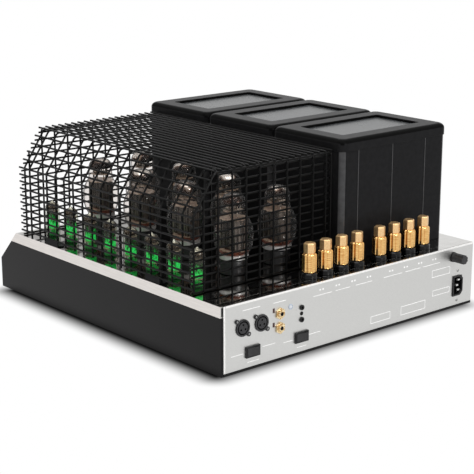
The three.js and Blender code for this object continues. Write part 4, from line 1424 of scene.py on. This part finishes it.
@dataclass
class OutputTubes(Tubes):
    """Eight large tubes: moulded base, chrome ring, blown bulb and what stands in it."""

    kind: str = "output"
    radius: float = 24.5
    bulb: tuple[Point, ...] = (
        (0.70, 22.0, 0), (0.84, 28.0, 0), (0.96, 36.0, 0), (1.0, 46.0, 0), (0.985, 55.0, 0), (0.88, 64.0, 0),
        (0.72, 71.0, 0), (0.66, 77.0, 0), (0.655, 86.0, 0), (0.62, 92.0, 0), (0.48, 97.2, -1),
        (0.25, 99.5, -1), (0.0, 100.0, -1),
    )
    base_radius: float = 17.0
    base_height: float = 21.5
    ring_radius: float = 18.5
    ring_height: float = 4.0
    anode_width: float = 33.0
    anode_depth: float = 20.0
    anode_low: float = 31.0
    anode_high: float = 68.0
    fin_reach: float = 2.6
    fin_half: float = 0.5
    fin_inset: float = 2.0
    rib_margin: float = 2.5
    rib_pitch: float = 4.6
    rib_rise: float = 2.2
    rib_foot: float = 1.5
    rib_crest: float = 0.7
    stem: Section = (
        (0.0, 23.0), (14.5, 23.0), (17.5, 25.5), (19.0, 28.5), (13.0, 30.0), (6.0, 31.5), (0.0, 31.5),
    )
    # Radius and height of each mica spacer.
    mica_places: Section = ((17.5, 29.6), (17.5, 69.0), (13.0, 78.5))
    mica_thickness: float = 0.8
    rod_radius: float = 0.7
    rod_places: Section = ((7.5, 0.0), (-7.5, 0.0), (0.0, 5.0), (0.0, -5.0))
    rod_heights: Pair = (24.0, 84.0)
    loop: Section = ((4.0, -0.6), (5.2, -0.6), (5.2, 0.6), (4.0, 0.6))
    loop_shift: float = 6.5
    plate_shift: float = 8.0
    plate_half: Pair = (2.5, 3.5)
    plate_heights: Pair = (79.5, 83.0)

    def section(self) -> Section:
        """Returns the anode's section: a flat box with ribs pressed into its long sides."""
        half_x, half_y = self.anode_width / 2, self.anode_depth / 2
        foot, crest, high = self.rib_foot, self.rib_crest, self.rib_rise
        points = []
        ribs = int(self.anode_width / self.rib_pitch)
        for way in (1, -1):
            for i in range(ribs):
                x = -half_x + self.rib_margin + i * (self.anode_width - 2 * self.rib_margin) / (ribs - 1)
                for shift, rise in ((-foot, 0.0), (-crest, high), (crest, high), (foot, 0.0)):
                    points.append((-way * (x + shift), way * (half_y - high + rise)))
            points.append((-way * half_x, 0.0))
        return points

    def base(self) -> Form:
        """Makes the moulded base, with a step below the ring."""
        r, top = self.base_radius, self.base_height
        outline = (
            (0.0, 0.3), (r - 0.8, 0.3), (r, 1.1), (r, top - 3.5), (r - 1.0, top - 3.0), (r - 1.0, top),
            (0.0, top),
        )
        return Form().raised(circle(36), outline)

    def ring(self) -> Form:
        """Makes the chrome ring round the base's top."""
        r, low, top = self.ring_radius, self.base_height, self.base_height + self.ring_height
        outline = (
            (r - 3, low - 2.4), (r - 0.8, low - 2.4), (r, low - 1.6),
            (r, top - 1.4), (r - 1.6, top), (r - 3, top),
        )
        return Form().raised(circle(40), outline, closed=True)

    def anode(self) -> Form:
        """Makes the ribbed anode with its two fins."""
        low, high = self.anode_low, self.anode_high
        fin, half, inset = self.anode_width / 2 + self.fin_reach, self.fin_half, self.fin_inset
        form = Form().prism(self.section(), low, high)
        return form.block((-fin, -half, low + inset), (fin, half, high - inset))

    def micas(self) -> Form:
        """Makes the mica spacers below, on and over the anode."""
        form = Form()
        for r, height in self.mica_places:
            form.raised(fluted(12, 0.12, 4), ((r, height), (r, height + self.mica_thickness)))
        return form

    def rods(self) -> Form:
        """Makes the support rods, with the getters' loops and plates on top."""
        form = Form()
        top = self.rod_heights[1]
        for x, y in self.rod_places:
            form.raised(circle(8), [(self.rod_radius, height) for height in self.rod_heights], (x, y, 0))
        half_x, half_y = self.plate_half
        low, high = self.plate_heights
        for way in (-1, 1):
            form.raised(circle(20), self.loop, (0, way * self.loop_shift, top), Axis.OUT, closed=True)
            x = way * self.plate_shift
            form.block((x - half_x, -half_y, low), (x + half_x, half_y, high))
        return form

    def parts(self) -> list[tuple[str, Form, Finish, str]]:
        """Returns name, form, finish and slot of each part of one tube, over the deck, the bulb last."""
        return [
            ("moulded_bases", self.base(), PHENOLIC, "black_plastic"),
            ("chrome_rings", self.ring(), CHROME, "satin_steel"),
            ("glass_stems", Form().raised(circle(32), self.stem), COPPER_STEM, "tube_glass"),
            ("ribbed_anodes", self.anode(), ANODE_NICKEL, "tube_glass"),
            ("mica_spacers", self.micas(), MICA, "tube_glass"),
            ("support_rods", self.rods(), BRIGHT_NICKEL, "tube_glass"),
            ("getter_domes", self.flash(0.7, 86.5, 0.94, 0.6, 32), GETTER_FLASH_AND_PAINTED_REFLECTION, "tube_glass"),
            ("blown_bulbs", Form().raised(circle(40), self.outline(0.0)), CLEAR_BULB, "tube_glass"),
        ]


@dataclass
class DriverTubes(Tubes):
    """Eight small tubes, lit green from their sockets."""

    kind: str = "driver"
    radius: float = 9.5
    bulb: tuple[Point, ...] = (
        (0.9, 0.3, 1), (1.0, 2.0, 0), (1.0, 22.0, 0), (1.0, 38.0, 0), (0.93, 41.5, 0), (0.7, 44.5, -1),
        (0.3, 46.2, -1), (0.17, 47.5, -1), (0.0, 49.0, -1),
    )
    stems: tuple[Section, Section] = (
        ((0.0, 0.9), (7.6, 0.9), (7.8, 3.5), (5.0, 5.2), (0.0, 5.4)),
        ((0.0, 5.4), (3.0, 5.4), (3.4, 9.0), (0.0, 9.2)),
    )
    anode_shift: float = 3.6
    # Width, depth, corner radius and steps of each corner.
    anode_size: tuple[float, float, float, int] = (5.6, 9.5, 1.2, 2)
    anode_heights: Pair = (11.0, 34.0)
    fin: Pair = (3.2, 0.3)
    mica_radius: float = 8.6
    mica_heights: Pair = (9.6, 34.6)
    mica_thickness: float = 0.6
    rod_radius: float = 0.45
    rod_places: Section = ((6.0, 2.5), (-6.0, 2.5), (6.0, -2.5), (-6.0, -2.5))
    rod_heights: Pair = (2.0, 37.0)
    loop: Section = ((3.2, 38.0), (4.2, 38.0), (4.2, 38.8), (3.2, 38.8))

    def outline(self, gap: float) -> list[Pair]:
        """Returns the bulb's profile with its closed floor."""
        drawn = super().outline(gap)
        return [(0.0, drawn[0][1]), *drawn]

    def stem(self) -> Form:
        """Makes the stem with the lamp below it."""
        form = Form()
        for outline in self.stems:
            form.raised(circle(20), outline)
        return form

    def anodes(self) -> Form:
        """Makes the two anodes, each with its fins."""
        form = Form()
        box = rounded_rectangle(*self.anode_size)
        low, high = self.anode_heights
        reach, half = self.fin
        for x in (-self.anode_shift, self.anode_shift):
            form.prism(box, low, high, (x, 0, 0))
            form.block((x - reach, -half, low + 1), (x + reach, half, high - 1))
        return form

    def micas(self) -> Form:
        """Makes the mica spacers below and over the anodes."""
        form = Form()
        r = self.mica_radius
        for height in self.mica_heights:
            form.raised(fluted(8, 0.14, 4), ((r, height), (r, height + self.mica_thickness)))
        return form

    def rods(self) -> Form:
        """Makes the support rods and the getter's loop."""
        form = Form()
        for x, y in self.rod_places:
            form.raised(circle(6), [(self.rod_radius, height) for height in self.rod_heights], (x, y, 0))
        return form.raised(circle(16), self.loop, closed=True)

    def parts(self) -> list[tuple[str, Form, Finish, str]]:
        """Returns name, form, finish and slot of each part of one tube, over the deck, the bulb last."""
        parts = (
            ("lit_stems", self.stem(), GREEN_STEM),
            ("lit_anodes", self.anodes(), LIT_ANODE),
            ("small_micas", self.micas(), MICA),
            ("small_rods", self.rods(), BRIGHT_NICKEL),
            ("small_getters", self.flash(0.5, 37.0, 0.93, 0.4, 24), SMALL_FLASH_AND_PAINTED_HIGHLIGHT),
            ("small_bulbs", Form().raised(circle(28), self.outline(0.0)), SMALL_BULB),
        )
        return [(*part, "green_tube_glass") for part in parts]


@dataclass
class BindingPosts:
    """Two strips of four posts: gloss collars, gold studs and gold nuts."""

    posts: int = 8
    strips: int = 2
    bar_height: float = 8.0
    bar_edge: float = 0.6
    barrel_radius: float = 9.1
    barrel_height: float = 23.7
    hex_radius: float = 7.6
    hex_edge: float = 0.25
    bore: float = 4.1
    flutes: int = 8
    flute_depth: float = 0.1
    stud_radius: float = 3.6
    stud_length: float = 26.0
    collar_radius: float = 10.2
    collar_bore: float = 4.4
    collar_height: float = 7.0

    def nut(self, number: int) -> None:
        """Makes one nut on its own body.

        Args:
            number: from 1, at the front.
        """
        node = f"post_nut_{number}"
        at, total = stand_of(node)
        r, h = self.barrel_radius, self.barrel_height
        turned = (
            (self.bore, 0.0), (r - 1.6, 0.0), (r - 0.3, 0.8), (r, 2.2), (r, h - 2.6), (r - 0.5, h - 1.2),
            (r - 1.8, h), (0.0, h),
        )
        barrel = Form().raised(fluted(self.flutes, self.flute_depth, 8), turned, at)
        r = self.hex_radius
        milled = (
            (0.0, h - 0.5), (r - 1.2, h - 0.5), (r, h + 0.7),
            (r, total - 1.3), (r - 1.3, total), (0.0, total),
        )
        head = Form().raised(circle(6), milled, at)
        pieces = [
            barrel.made("barrel", GOLD_PLATE, angle=30),
            head.made("head", PALE_GOLD, self.hex_edge),
        ]
        placed(joined(f"gold_nut_{number}", pieces), node, "gold_plate", node)

    def strip(self, trees: Trees, number: int) -> None:
        """Makes one strip with its collars, and its studs.

        Args:
            trees: the shared trees.
            number: from 1, at the front.
        """
        node = f"terminal_strip_{number}"
        low, high = span_of(node)
        count = self.posts // self.strips
        first, second = (middle_of(f"post_nut_{count * (number - 1) + n}").y for n in (1, 2))
        at, step = ((low.x + high.x) / 2, first, 0), (0, second - first, 0)
        bar = Form().block(tuple(low), (high.x, high.y, low.z + self.bar_height))
        bar_piece = bar.made("bar", SATIN_PLASTIC, self.bar_edge)
        r, bore, deck = self.collar_radius, self.collar_bore, Chassis.deck
        top = deck + self.collar_height
        outline = (
            (bore, deck - 4.0), (r - 0.6, deck - 4.0), (r - 0.6, deck + 0.3), (r, deck + 0.3),
            (r, top - 1.4), (r - 1.4, top), (bore, top),
        )
        collar = Form().raised(circle(36), outline, at, closed=True)
        collars = trees.in_row("collars", collar, GLOSS_PLASTIC, count, step)
        placed(joined(f"gloss_collars_{number}", [collars, bar_piece]), BASE, "black_plastic", node)
        r, top = self.stud_radius, top + self.stud_length
        outline = ((0.0, low.z), (r, low.z), (r, top - 1), (r - 1, top), (0.0, top))
        stud = Form().raised(circle(20), outline, at)
        placed(trees.in_row(f"gold_studs_{number}", stud, GOLD_PLATE, count, step), BASE, "gold_plate")

    def build(self, trees: Trees) -> None:
        """Makes the sub-assembly's pieces."""
        for number in range(1, self.posts + 1):
            self.nut(number)
        for number in range(1, self.strips + 1):
            self.strip(trees, number)


@dataclass
class Fittings:
    """Inlets, jacks, switches, fuse, lamp, screws and printed lines on the connector panel."""

    face: float = 229.8
    input_edge: float = 0.35
    block_edge: float = 0.4
    trigger_edge: float = 0.25
    inlet_edge: float = 0.5
    fuse_edge: float = 0.6
    insert_radius: float = 7.0
    insert_depth: float = 0.45
    lug_shift: float = 9.1
    lug_screw: float = 1.35
    panel_screw: float = 1.9
    dark_screw: float = 2.5
    phono_levels: Pair = (63.9, 46.15)
    sleeve: Section = ((1.2, -3.0), (2.5, -3.0), (2.5, 0.12), (1.5, 0.12), (1.2, -0.3))
    mark: Pair = (3.2, 5.6)
    mark_shift: Pair = (-11.6, 5.4)
    blade: Point = (2.4, 4.2, 2.2)
    blade_places: tuple[Point, ...] = ((3.6, -7.0, 1.9), (0.6, 0.0, 1.9), (3.6, 7.0, 1.9))
    inlet_screw_rise: float = 20.5
    jack_screw: Pair = (-94.4, 56.4)
    lamp_place: Pair = (-112.5, 68.6)
    lamp_radius: float = 3.2
    ink_width: float = 0.8
    ink_rise: float = 0.06
    ink_sink: float = 0.1
    # Size and place of the strips of painted highlight on the panel's bent edges.
    bend_height: float = 2.6
    bend_rise: float = 0.35
    bend_sink: float = 0.5
    bend_drop: float = 0.1
    bend_gap: float = 0.5
    # Inset of the painted highlight strip at the panel's front, its back and its underside.
    bend_insets: Point = (0.3, 0.4, 1.0)
    bend_edge: float = 0.3
    tick: Point = (2.4, 2.0, 80.0)
    tick_gap: float = 5.0
    # Start, end and height of each printed line.
    ink_lines: tuple[Point, ...] = (
        (-75.0, -44.7, 73.5), (-37.0, -12.8, 73.5), (-2.2, 26.2, 73.5), (47.9, 81.2, 73.5),
        (87.8, 115.3, 73.5), (121.1, 154.2, 73.5), (-204.8, -187.3, 26.9), (-156.3, -137.2, 28.8),
        (-123.1, -108.1, 25.8), (-82.3, -63.1, 27.0), (-187.4, -161.1, 79.4), (-139.6, -120.5, 78.5),
        (-180.0, -163.0, 14.6), (-101.0, -86.0, 14.6),
    )
    # Start, end, lowest and highest line of each empty field.
    ink_fields: tuple[tuple[float, float, float, float], ...] = (
        (26.0, 61.0, 17.0, 26.0), (81.5, 127.5, 16.5, 27.5),
        (139.7, 174.6, 55.3, 64.6), (142.0, 174.8, 29.5, 36.7),
    )

    def screws(
        self, trees: Trees, name: str, radius: float, finish: Finish, slot: str, places: Sequence[Point]
    ) -> None:
        """Makes small cross-headed screws with their heads towards +X.

        Args:
            trees: the shared trees.
            name: the piece's name.
            radius: of the heads.
            finish: the piece's finish.
            slot: the record's material slot; not used.
            places: where they are, in millimetres.
        """
        outline = (
            (0.0, -0.6), (radius, -0.6), (radius, 0.35), (radius * 0.72, 0.75), (radius * 0.5, 0.8),
            (radius * 0.32, 0.35), (0.0, 0.3),
        )
        screw = Form().raised(circle(16), outline, axis=Axis.OUT)
        placed(trees.set_out(name, screw, finish, places), BASE, slot)

    def balanced_inputs(self, trees: Trees) -> None:
        """Dresses the two round inputs, with their inserts and screws."""
        places = []
        for number in (1, 2):
            node = f"balanced_input_{number}"
            middle, front = middle_of(node), span_of(node)[1].x

            def inserted(face: Face, middle: Vector = middle, front: float = front) -> bool:
                """Says whether a face belongs to the insert's front."""
                place = face.center / MM
                reach = math.hypot(place.y - middle.y, place.z - middle.z)
                return reach < self.insert_radius and place.x > front - self.insert_depth

            name = f"{node}_moulded"
            insert = {"other": INSERT_PLASTIC, "zone": inserted}
            dress(node, name, SATIN_PLASTIC, self.input_edge, "black_plastic", **insert)
            for shift in (-self.lug_shift, self.lug_shift):
                places.append((front, middle.y + shift, middle.z - shift))
        self.screws(trees, "lug_screws", self.lug_screw, SCREW_STEEL, "satin_steel", places)

    def jacks(self, trees: Trees) -> None:
        """Dresses the phono and trigger jacks, and prints the phono jacks' colour marks."""
        node = "phono_jack_block"
        # The rims' faces take the gold with painted reflection.
        dress(
            node, f"{node}_moulded", SATIN_PLASTIC, self.block_edge, "gold_plate",
            other=JACK_GOLD_PAINTED_REFLECTION, zone=lambda face: (face.center / MM).x > self.face,
        )
        low, high = span_of(node)
        places = [(high.x, (low.y + high.y) / 2, z) for z in self.phono_levels]
        sleeve = Form().raised(circle(24), self.sleeve, axis=Axis.OUT, closed=True)
        placed(trees.set_out("jack_sleeves", sleeve, GLOSS_PLASTIC, places), BASE, "black_plastic")
        marks = Form()
        width, height = self.mark
        for _, y, z in places:
            near, lowest = y + self.mark_shift[0], z + self.mark_shift[1] - height / 2
            self.inked(marks, (near, lowest), (near + width, lowest + height))
        marks.place("colour_marks", MARK_INK, "satin_steel")
        name = "trigger_jacks_moulded"
        dress("trigger_jack_block", name, SATIN_PLASTIC, self.trigger_edge, "black_plastic")

    def switches(self) -> None:
        """Dresses the switch frames, and the rockers on their own bodies."""
        for number in (1, 2):
            bezel, rocker = f"switch_frame_{number}", f"switch_rocker_{number}"
            edge = self.block_edge
            dress(bezel, f"switch_bezel_{number}", SATIN_PLASTIC, edge, "black_plastic")
            dress(rocker, f"rocker_cap_{number}", ROCKER_PLASTIC, edge, "black_plastic", rocker)

    def mains(self, trees: Trees) -> None:
        """Dresses the mains inlet with its blades and the fuse with its cap, and adds the panel's screws."""
        dress("mains_inlet", "mains_inlet_moulded", SATIN_PLASTIC, self.inlet_edge, "black_plastic")
        middle = middle_of("mains_inlet")
        face = span_of("mains_inlet")[1].x
        reach, width, thickness = self.blade
        form = Form()
        for shift, rise, depth in self.blade_places:
            y, z, end = middle.y + shift, middle.z + rise, face - depth
            near = (end - reach, y - width / 2, z - thickness / 2)
            form.block(near, (end, y + width / 2, z + thickness / 2))
        form.place("inlet_blades", BLADE_NICKEL, "satin_steel", self.block_edge)
        dress("fuse_holder", "fuse_holder_moulded", SATIN_PLASTIC, self.block_edge, "black_plastic")
        dress("fuse_cap", "fuse_cap_moulded", ROCKER_PLASTIC, self.fuse_edge, "black_plastic", "fuse_cap")
        places = [(self.face, middle.y, middle.z + way * self.inlet_screw_rise) for way in (-1, 1)]
        self.screws(trees, "panel_screws", self.panel_screw, SCREW_STEEL, "satin_steel", places)
        place = (self.face, *self.jack_screw)
        self.screws(trees, "jack_screw", self.dark_screw, BLACK_SHEET, "black_steel", [place])

    def lamp(self) -> None:
        """Makes the small lamp with its pale ring."""
        at, r = (self.face, *self.lamp_place), self.lamp_radius
        rim = ((r - 0.6, -0.5), (r, -0.5), (r, 0.4), (r - 0.2, 0.6), (r - 0.4, 0.6), (r - 0.6, 0.4))
        button = ((0.0, -0.5), (r - 0.6, -0.5), (r - 0.6, 0.1), (r - 1.4, 0.4), (0.0, 0.5))
        pieces = [
            Form().raised(circle(24), rim, at, Axis.OUT, closed=True).made("lamp_ring", LAMP_LENS),
            Form().raised(circle(20), button, at, Axis.OUT).made("lamp_lens", PALE_LENS),
        ]
        placed(joined("lamp_lens_ring", pieces), BASE, "satin_steel")

    def inked(self, form: Form, low: Pair, high: Pair) -> None:
        """Adds a printed rectangle between two corners in Y and Z to a form."""
        form.block((self.face - self.ink_sink, *low), (self.face + self.ink_rise, *high))

    def stroke(self, form: Form, start: Pair, end: Pair) -> None:
        """Adds one printed line along Y or Z to a form."""
        half = self.ink_width / 2
        self.inked(form, (start[0] - half, start[1] - half), (end[0] + half, end[1] + half))

    def printed(self) -> None:
        """Makes the printed lines, the marks beside the posts and the empty fields."""
        form = Form()
        for near, far, level in self.ink_lines:
            self.stroke(form, (near, level), (far, level))
        length, height, level = self.tick
        for number in range(1, BindingPosts.posts + 1):
            y = middle_of(f"post_nut_{number}").y
            for way in (-1, 1):
                near = y + way * self.tick_gap / 2 - length / 2
                self.inked(form, (near, level - height / 2), (near + length, level + height / 2))
        for near, far, low, high in self.ink_fields:
            for level in (low, high):
                self.stroke(form, (near, level), (far, level))
            for side in (near, far):
                self.stroke(form, (side, low + self.ink_width), (side, high - self.ink_width))
        form.place("printed_lines", PRINT_INK, "satin_steel")

    def edge_highlights(self) -> None:
        """Makes strips of painted highlight along the panel's bent top and front edges."""
        low, high = span_of("connector_panel")
        back, out, tall = self.face - self.bend_sink, self.face + self.bend_rise, self.bend_height
        top = Chassis.deck - self.bend_drop
        front_inset, back_inset, foot_inset = self.bend_insets
        near = (back, low.y + tall + self.bend_gap, Chassis.deck - tall)
        form = Form().block(near, (out, high.y - back_inset, top))
        form.block((back, low.y + front_inset, low.z + foot_inset), (out, low.y + tall, top))
        form.place("bent_panel_edges", EDGE_PAINTED_HIGHLIGHT, "satin_steel", self.bend_edge)

    def build(self, trees: Trees) -> None:
        """Makes the sub-assembly's pieces."""
        self.balanced_inputs(trees)
        self.jacks(trees)
        self.switches()
        self.mains(trees)
        self.lamp()
        self.printed()
        self.edge_highlights()


@dataclass
class Studio:
    """White floor and surroundings, soft lamps and the camera."""

    camera_place: Point = (1344.8, -1153.0, 560.0)
    camera_turn: float = 49.37
    camera_dip: float = 14.91
    lens: float = 102.3
    sensor: float = 36.0
    floor_reach: float = 9.0
    # Inset from the chassis's box and reach of the painted shadow round the footprint.
    shadow_inset: Pair = (17.0, 8.0)
    shadow_reach: float = 39.0
    paper: float = 0.97
    # Level of the dark paper of the painted shadow.
    shaded_paper: float = 0.06
    room_light: float = 0.55
    lamp_aim: Point = (0.0, 0.0, 0.1)
    # Name, place in metres, width and height in metres, and watts of each lamp.
    lamps: tuple[tuple[str, Point, Pair, float], ...] = (
        ("overhead_lamp", (0.2, -0.2, 2.4), (1.8, 1.8), 22),
        ("front_lamp", (-1.2, -2.2, 1.3), (0.25, 0.4), 4),
        ("side_lamp", (2.6, 0.1, 1.4), (0.6, 0.9), 32),
    )

    def floor(self) -> None:
        """Makes the floor, which shows white, and round the chassis's footprint a painted shadow: dark paper
        fading to white light.
        """
        mesh = bpy.data.meshes.new("floor")
        r = self.floor_reach
        mesh.from_pydata([(-r, -r, 0), (r, -r, 0), (r, r, 0), (-r, r, 0)], [], [(0, 1, 2, 3)])
        made = bpy.data.materials.new("white_paper_sweep")
        tree = empty_tree(made)
        # The camera sees dark paper near the footprint, a painted shadow, fading to white light further out.
        paper, shaded = (
            add_node(tree, "ShaderNodeBsdfDiffuse", {"Color": (level, level, level, 1.0)})
            for level in (self.paper, self.shaded_paper)
        )
        light = add_node(tree, "ShaderNodeEmission", {"Color": WHITE, "Strength": 1.0})
        low, high = span_of("chassis_shell")
        middle = [(a + b) / 2 for a, b in zip(low.xy, high.xy)]
        half = [(b - a) / 2 - inset for a, b, inset in zip(low.xy, high.xy, self.shadow_inset)]
        away = outside_box(tree, (*middle, 0.0), (*half, 0.0))
        rising = mapped(tree, away, {"From Max": self.shadow_reach * MM}, "SMOOTHSTEP")
        shadow = mixed(tree, rising, shaded, light)
        shown = mixed(tree, seen_by(tree, "Camera", "Glossy"), paper, shadow)
        add_node(tree, "ShaderNodeOutputMaterial", {"Surface": shown.outputs[0]})
        mesh.materials.append(made)
        linked("floor", mesh)

    def world(self) -> None:
        """Makes the surroundings: white to look at, softer as a light."""
        world = bpy.data.worlds.new("white_room")
        bpy.context.scene.world = world
        tree = empty_tree(world)
        lit, shown = (
            add_node(tree, "ShaderNodeBackground", {"Color": WHITE, "Strength": strength})
            for strength in (self.room_light, 1.0)
        )
        room = mixed(tree, seen_by(tree, "Camera", "Glossy", "Transmission"), lit, shown)
        add_node(tree, "ShaderNodeOutputWorld", {"Surface": room.outputs[0]})

    def light(self) -> None:
        """Adds the soft lamps."""
        for name, place, size, power in self.lamps:
            data = bpy.data.lights.new(name, "AREA")
            data.shape = "RECTANGLE"
            data.size, data.size_y = size
            data.energy = power
            lamp = linked(name, data)
            lamp.location = place
            aim = Vector(self.lamp_aim) - Vector(place)
            lamp.rotation_euler = aim.to_track_quat("-Z", "Y").to_euler()

    def camera(self) -> None:
        """Makes the camera at the photograph's viewing angle."""
        data = bpy.data.cameras.new("camera")
        data.lens, data.sensor_width = self.lens, self.sensor
        camera = linked("camera", data)
        camera.location = Vector(self.camera_place) * MM
        camera.rotation_euler = (math.radians(90 - self.camera_dip), 0.0, math.radians(self.camera_turn))
        bpy.context.scene.camera = camera

    def build(self, trees: Trees) -> None:
        """Makes the surroundings."""
        self.camera()
        self.floor()
        self.world()
        self.light()
        bpy.context.scene.view_settings.view_transform = "Standard"


def main() -> None:
    """Builds every sub-assembly in order."""
    logging.basicConfig(level=logging.INFO, format="%(message)s")
    trees = Trees()
    for kind in (
        Studio, Chassis, WireCage, Transformers, OutputTubes, DriverTubes, BindingPosts, Fittings
    ):
        kind().build(trees)
        LOG.info("%s is built", kind.__name__)


if __name__ == "__main__":
    main()
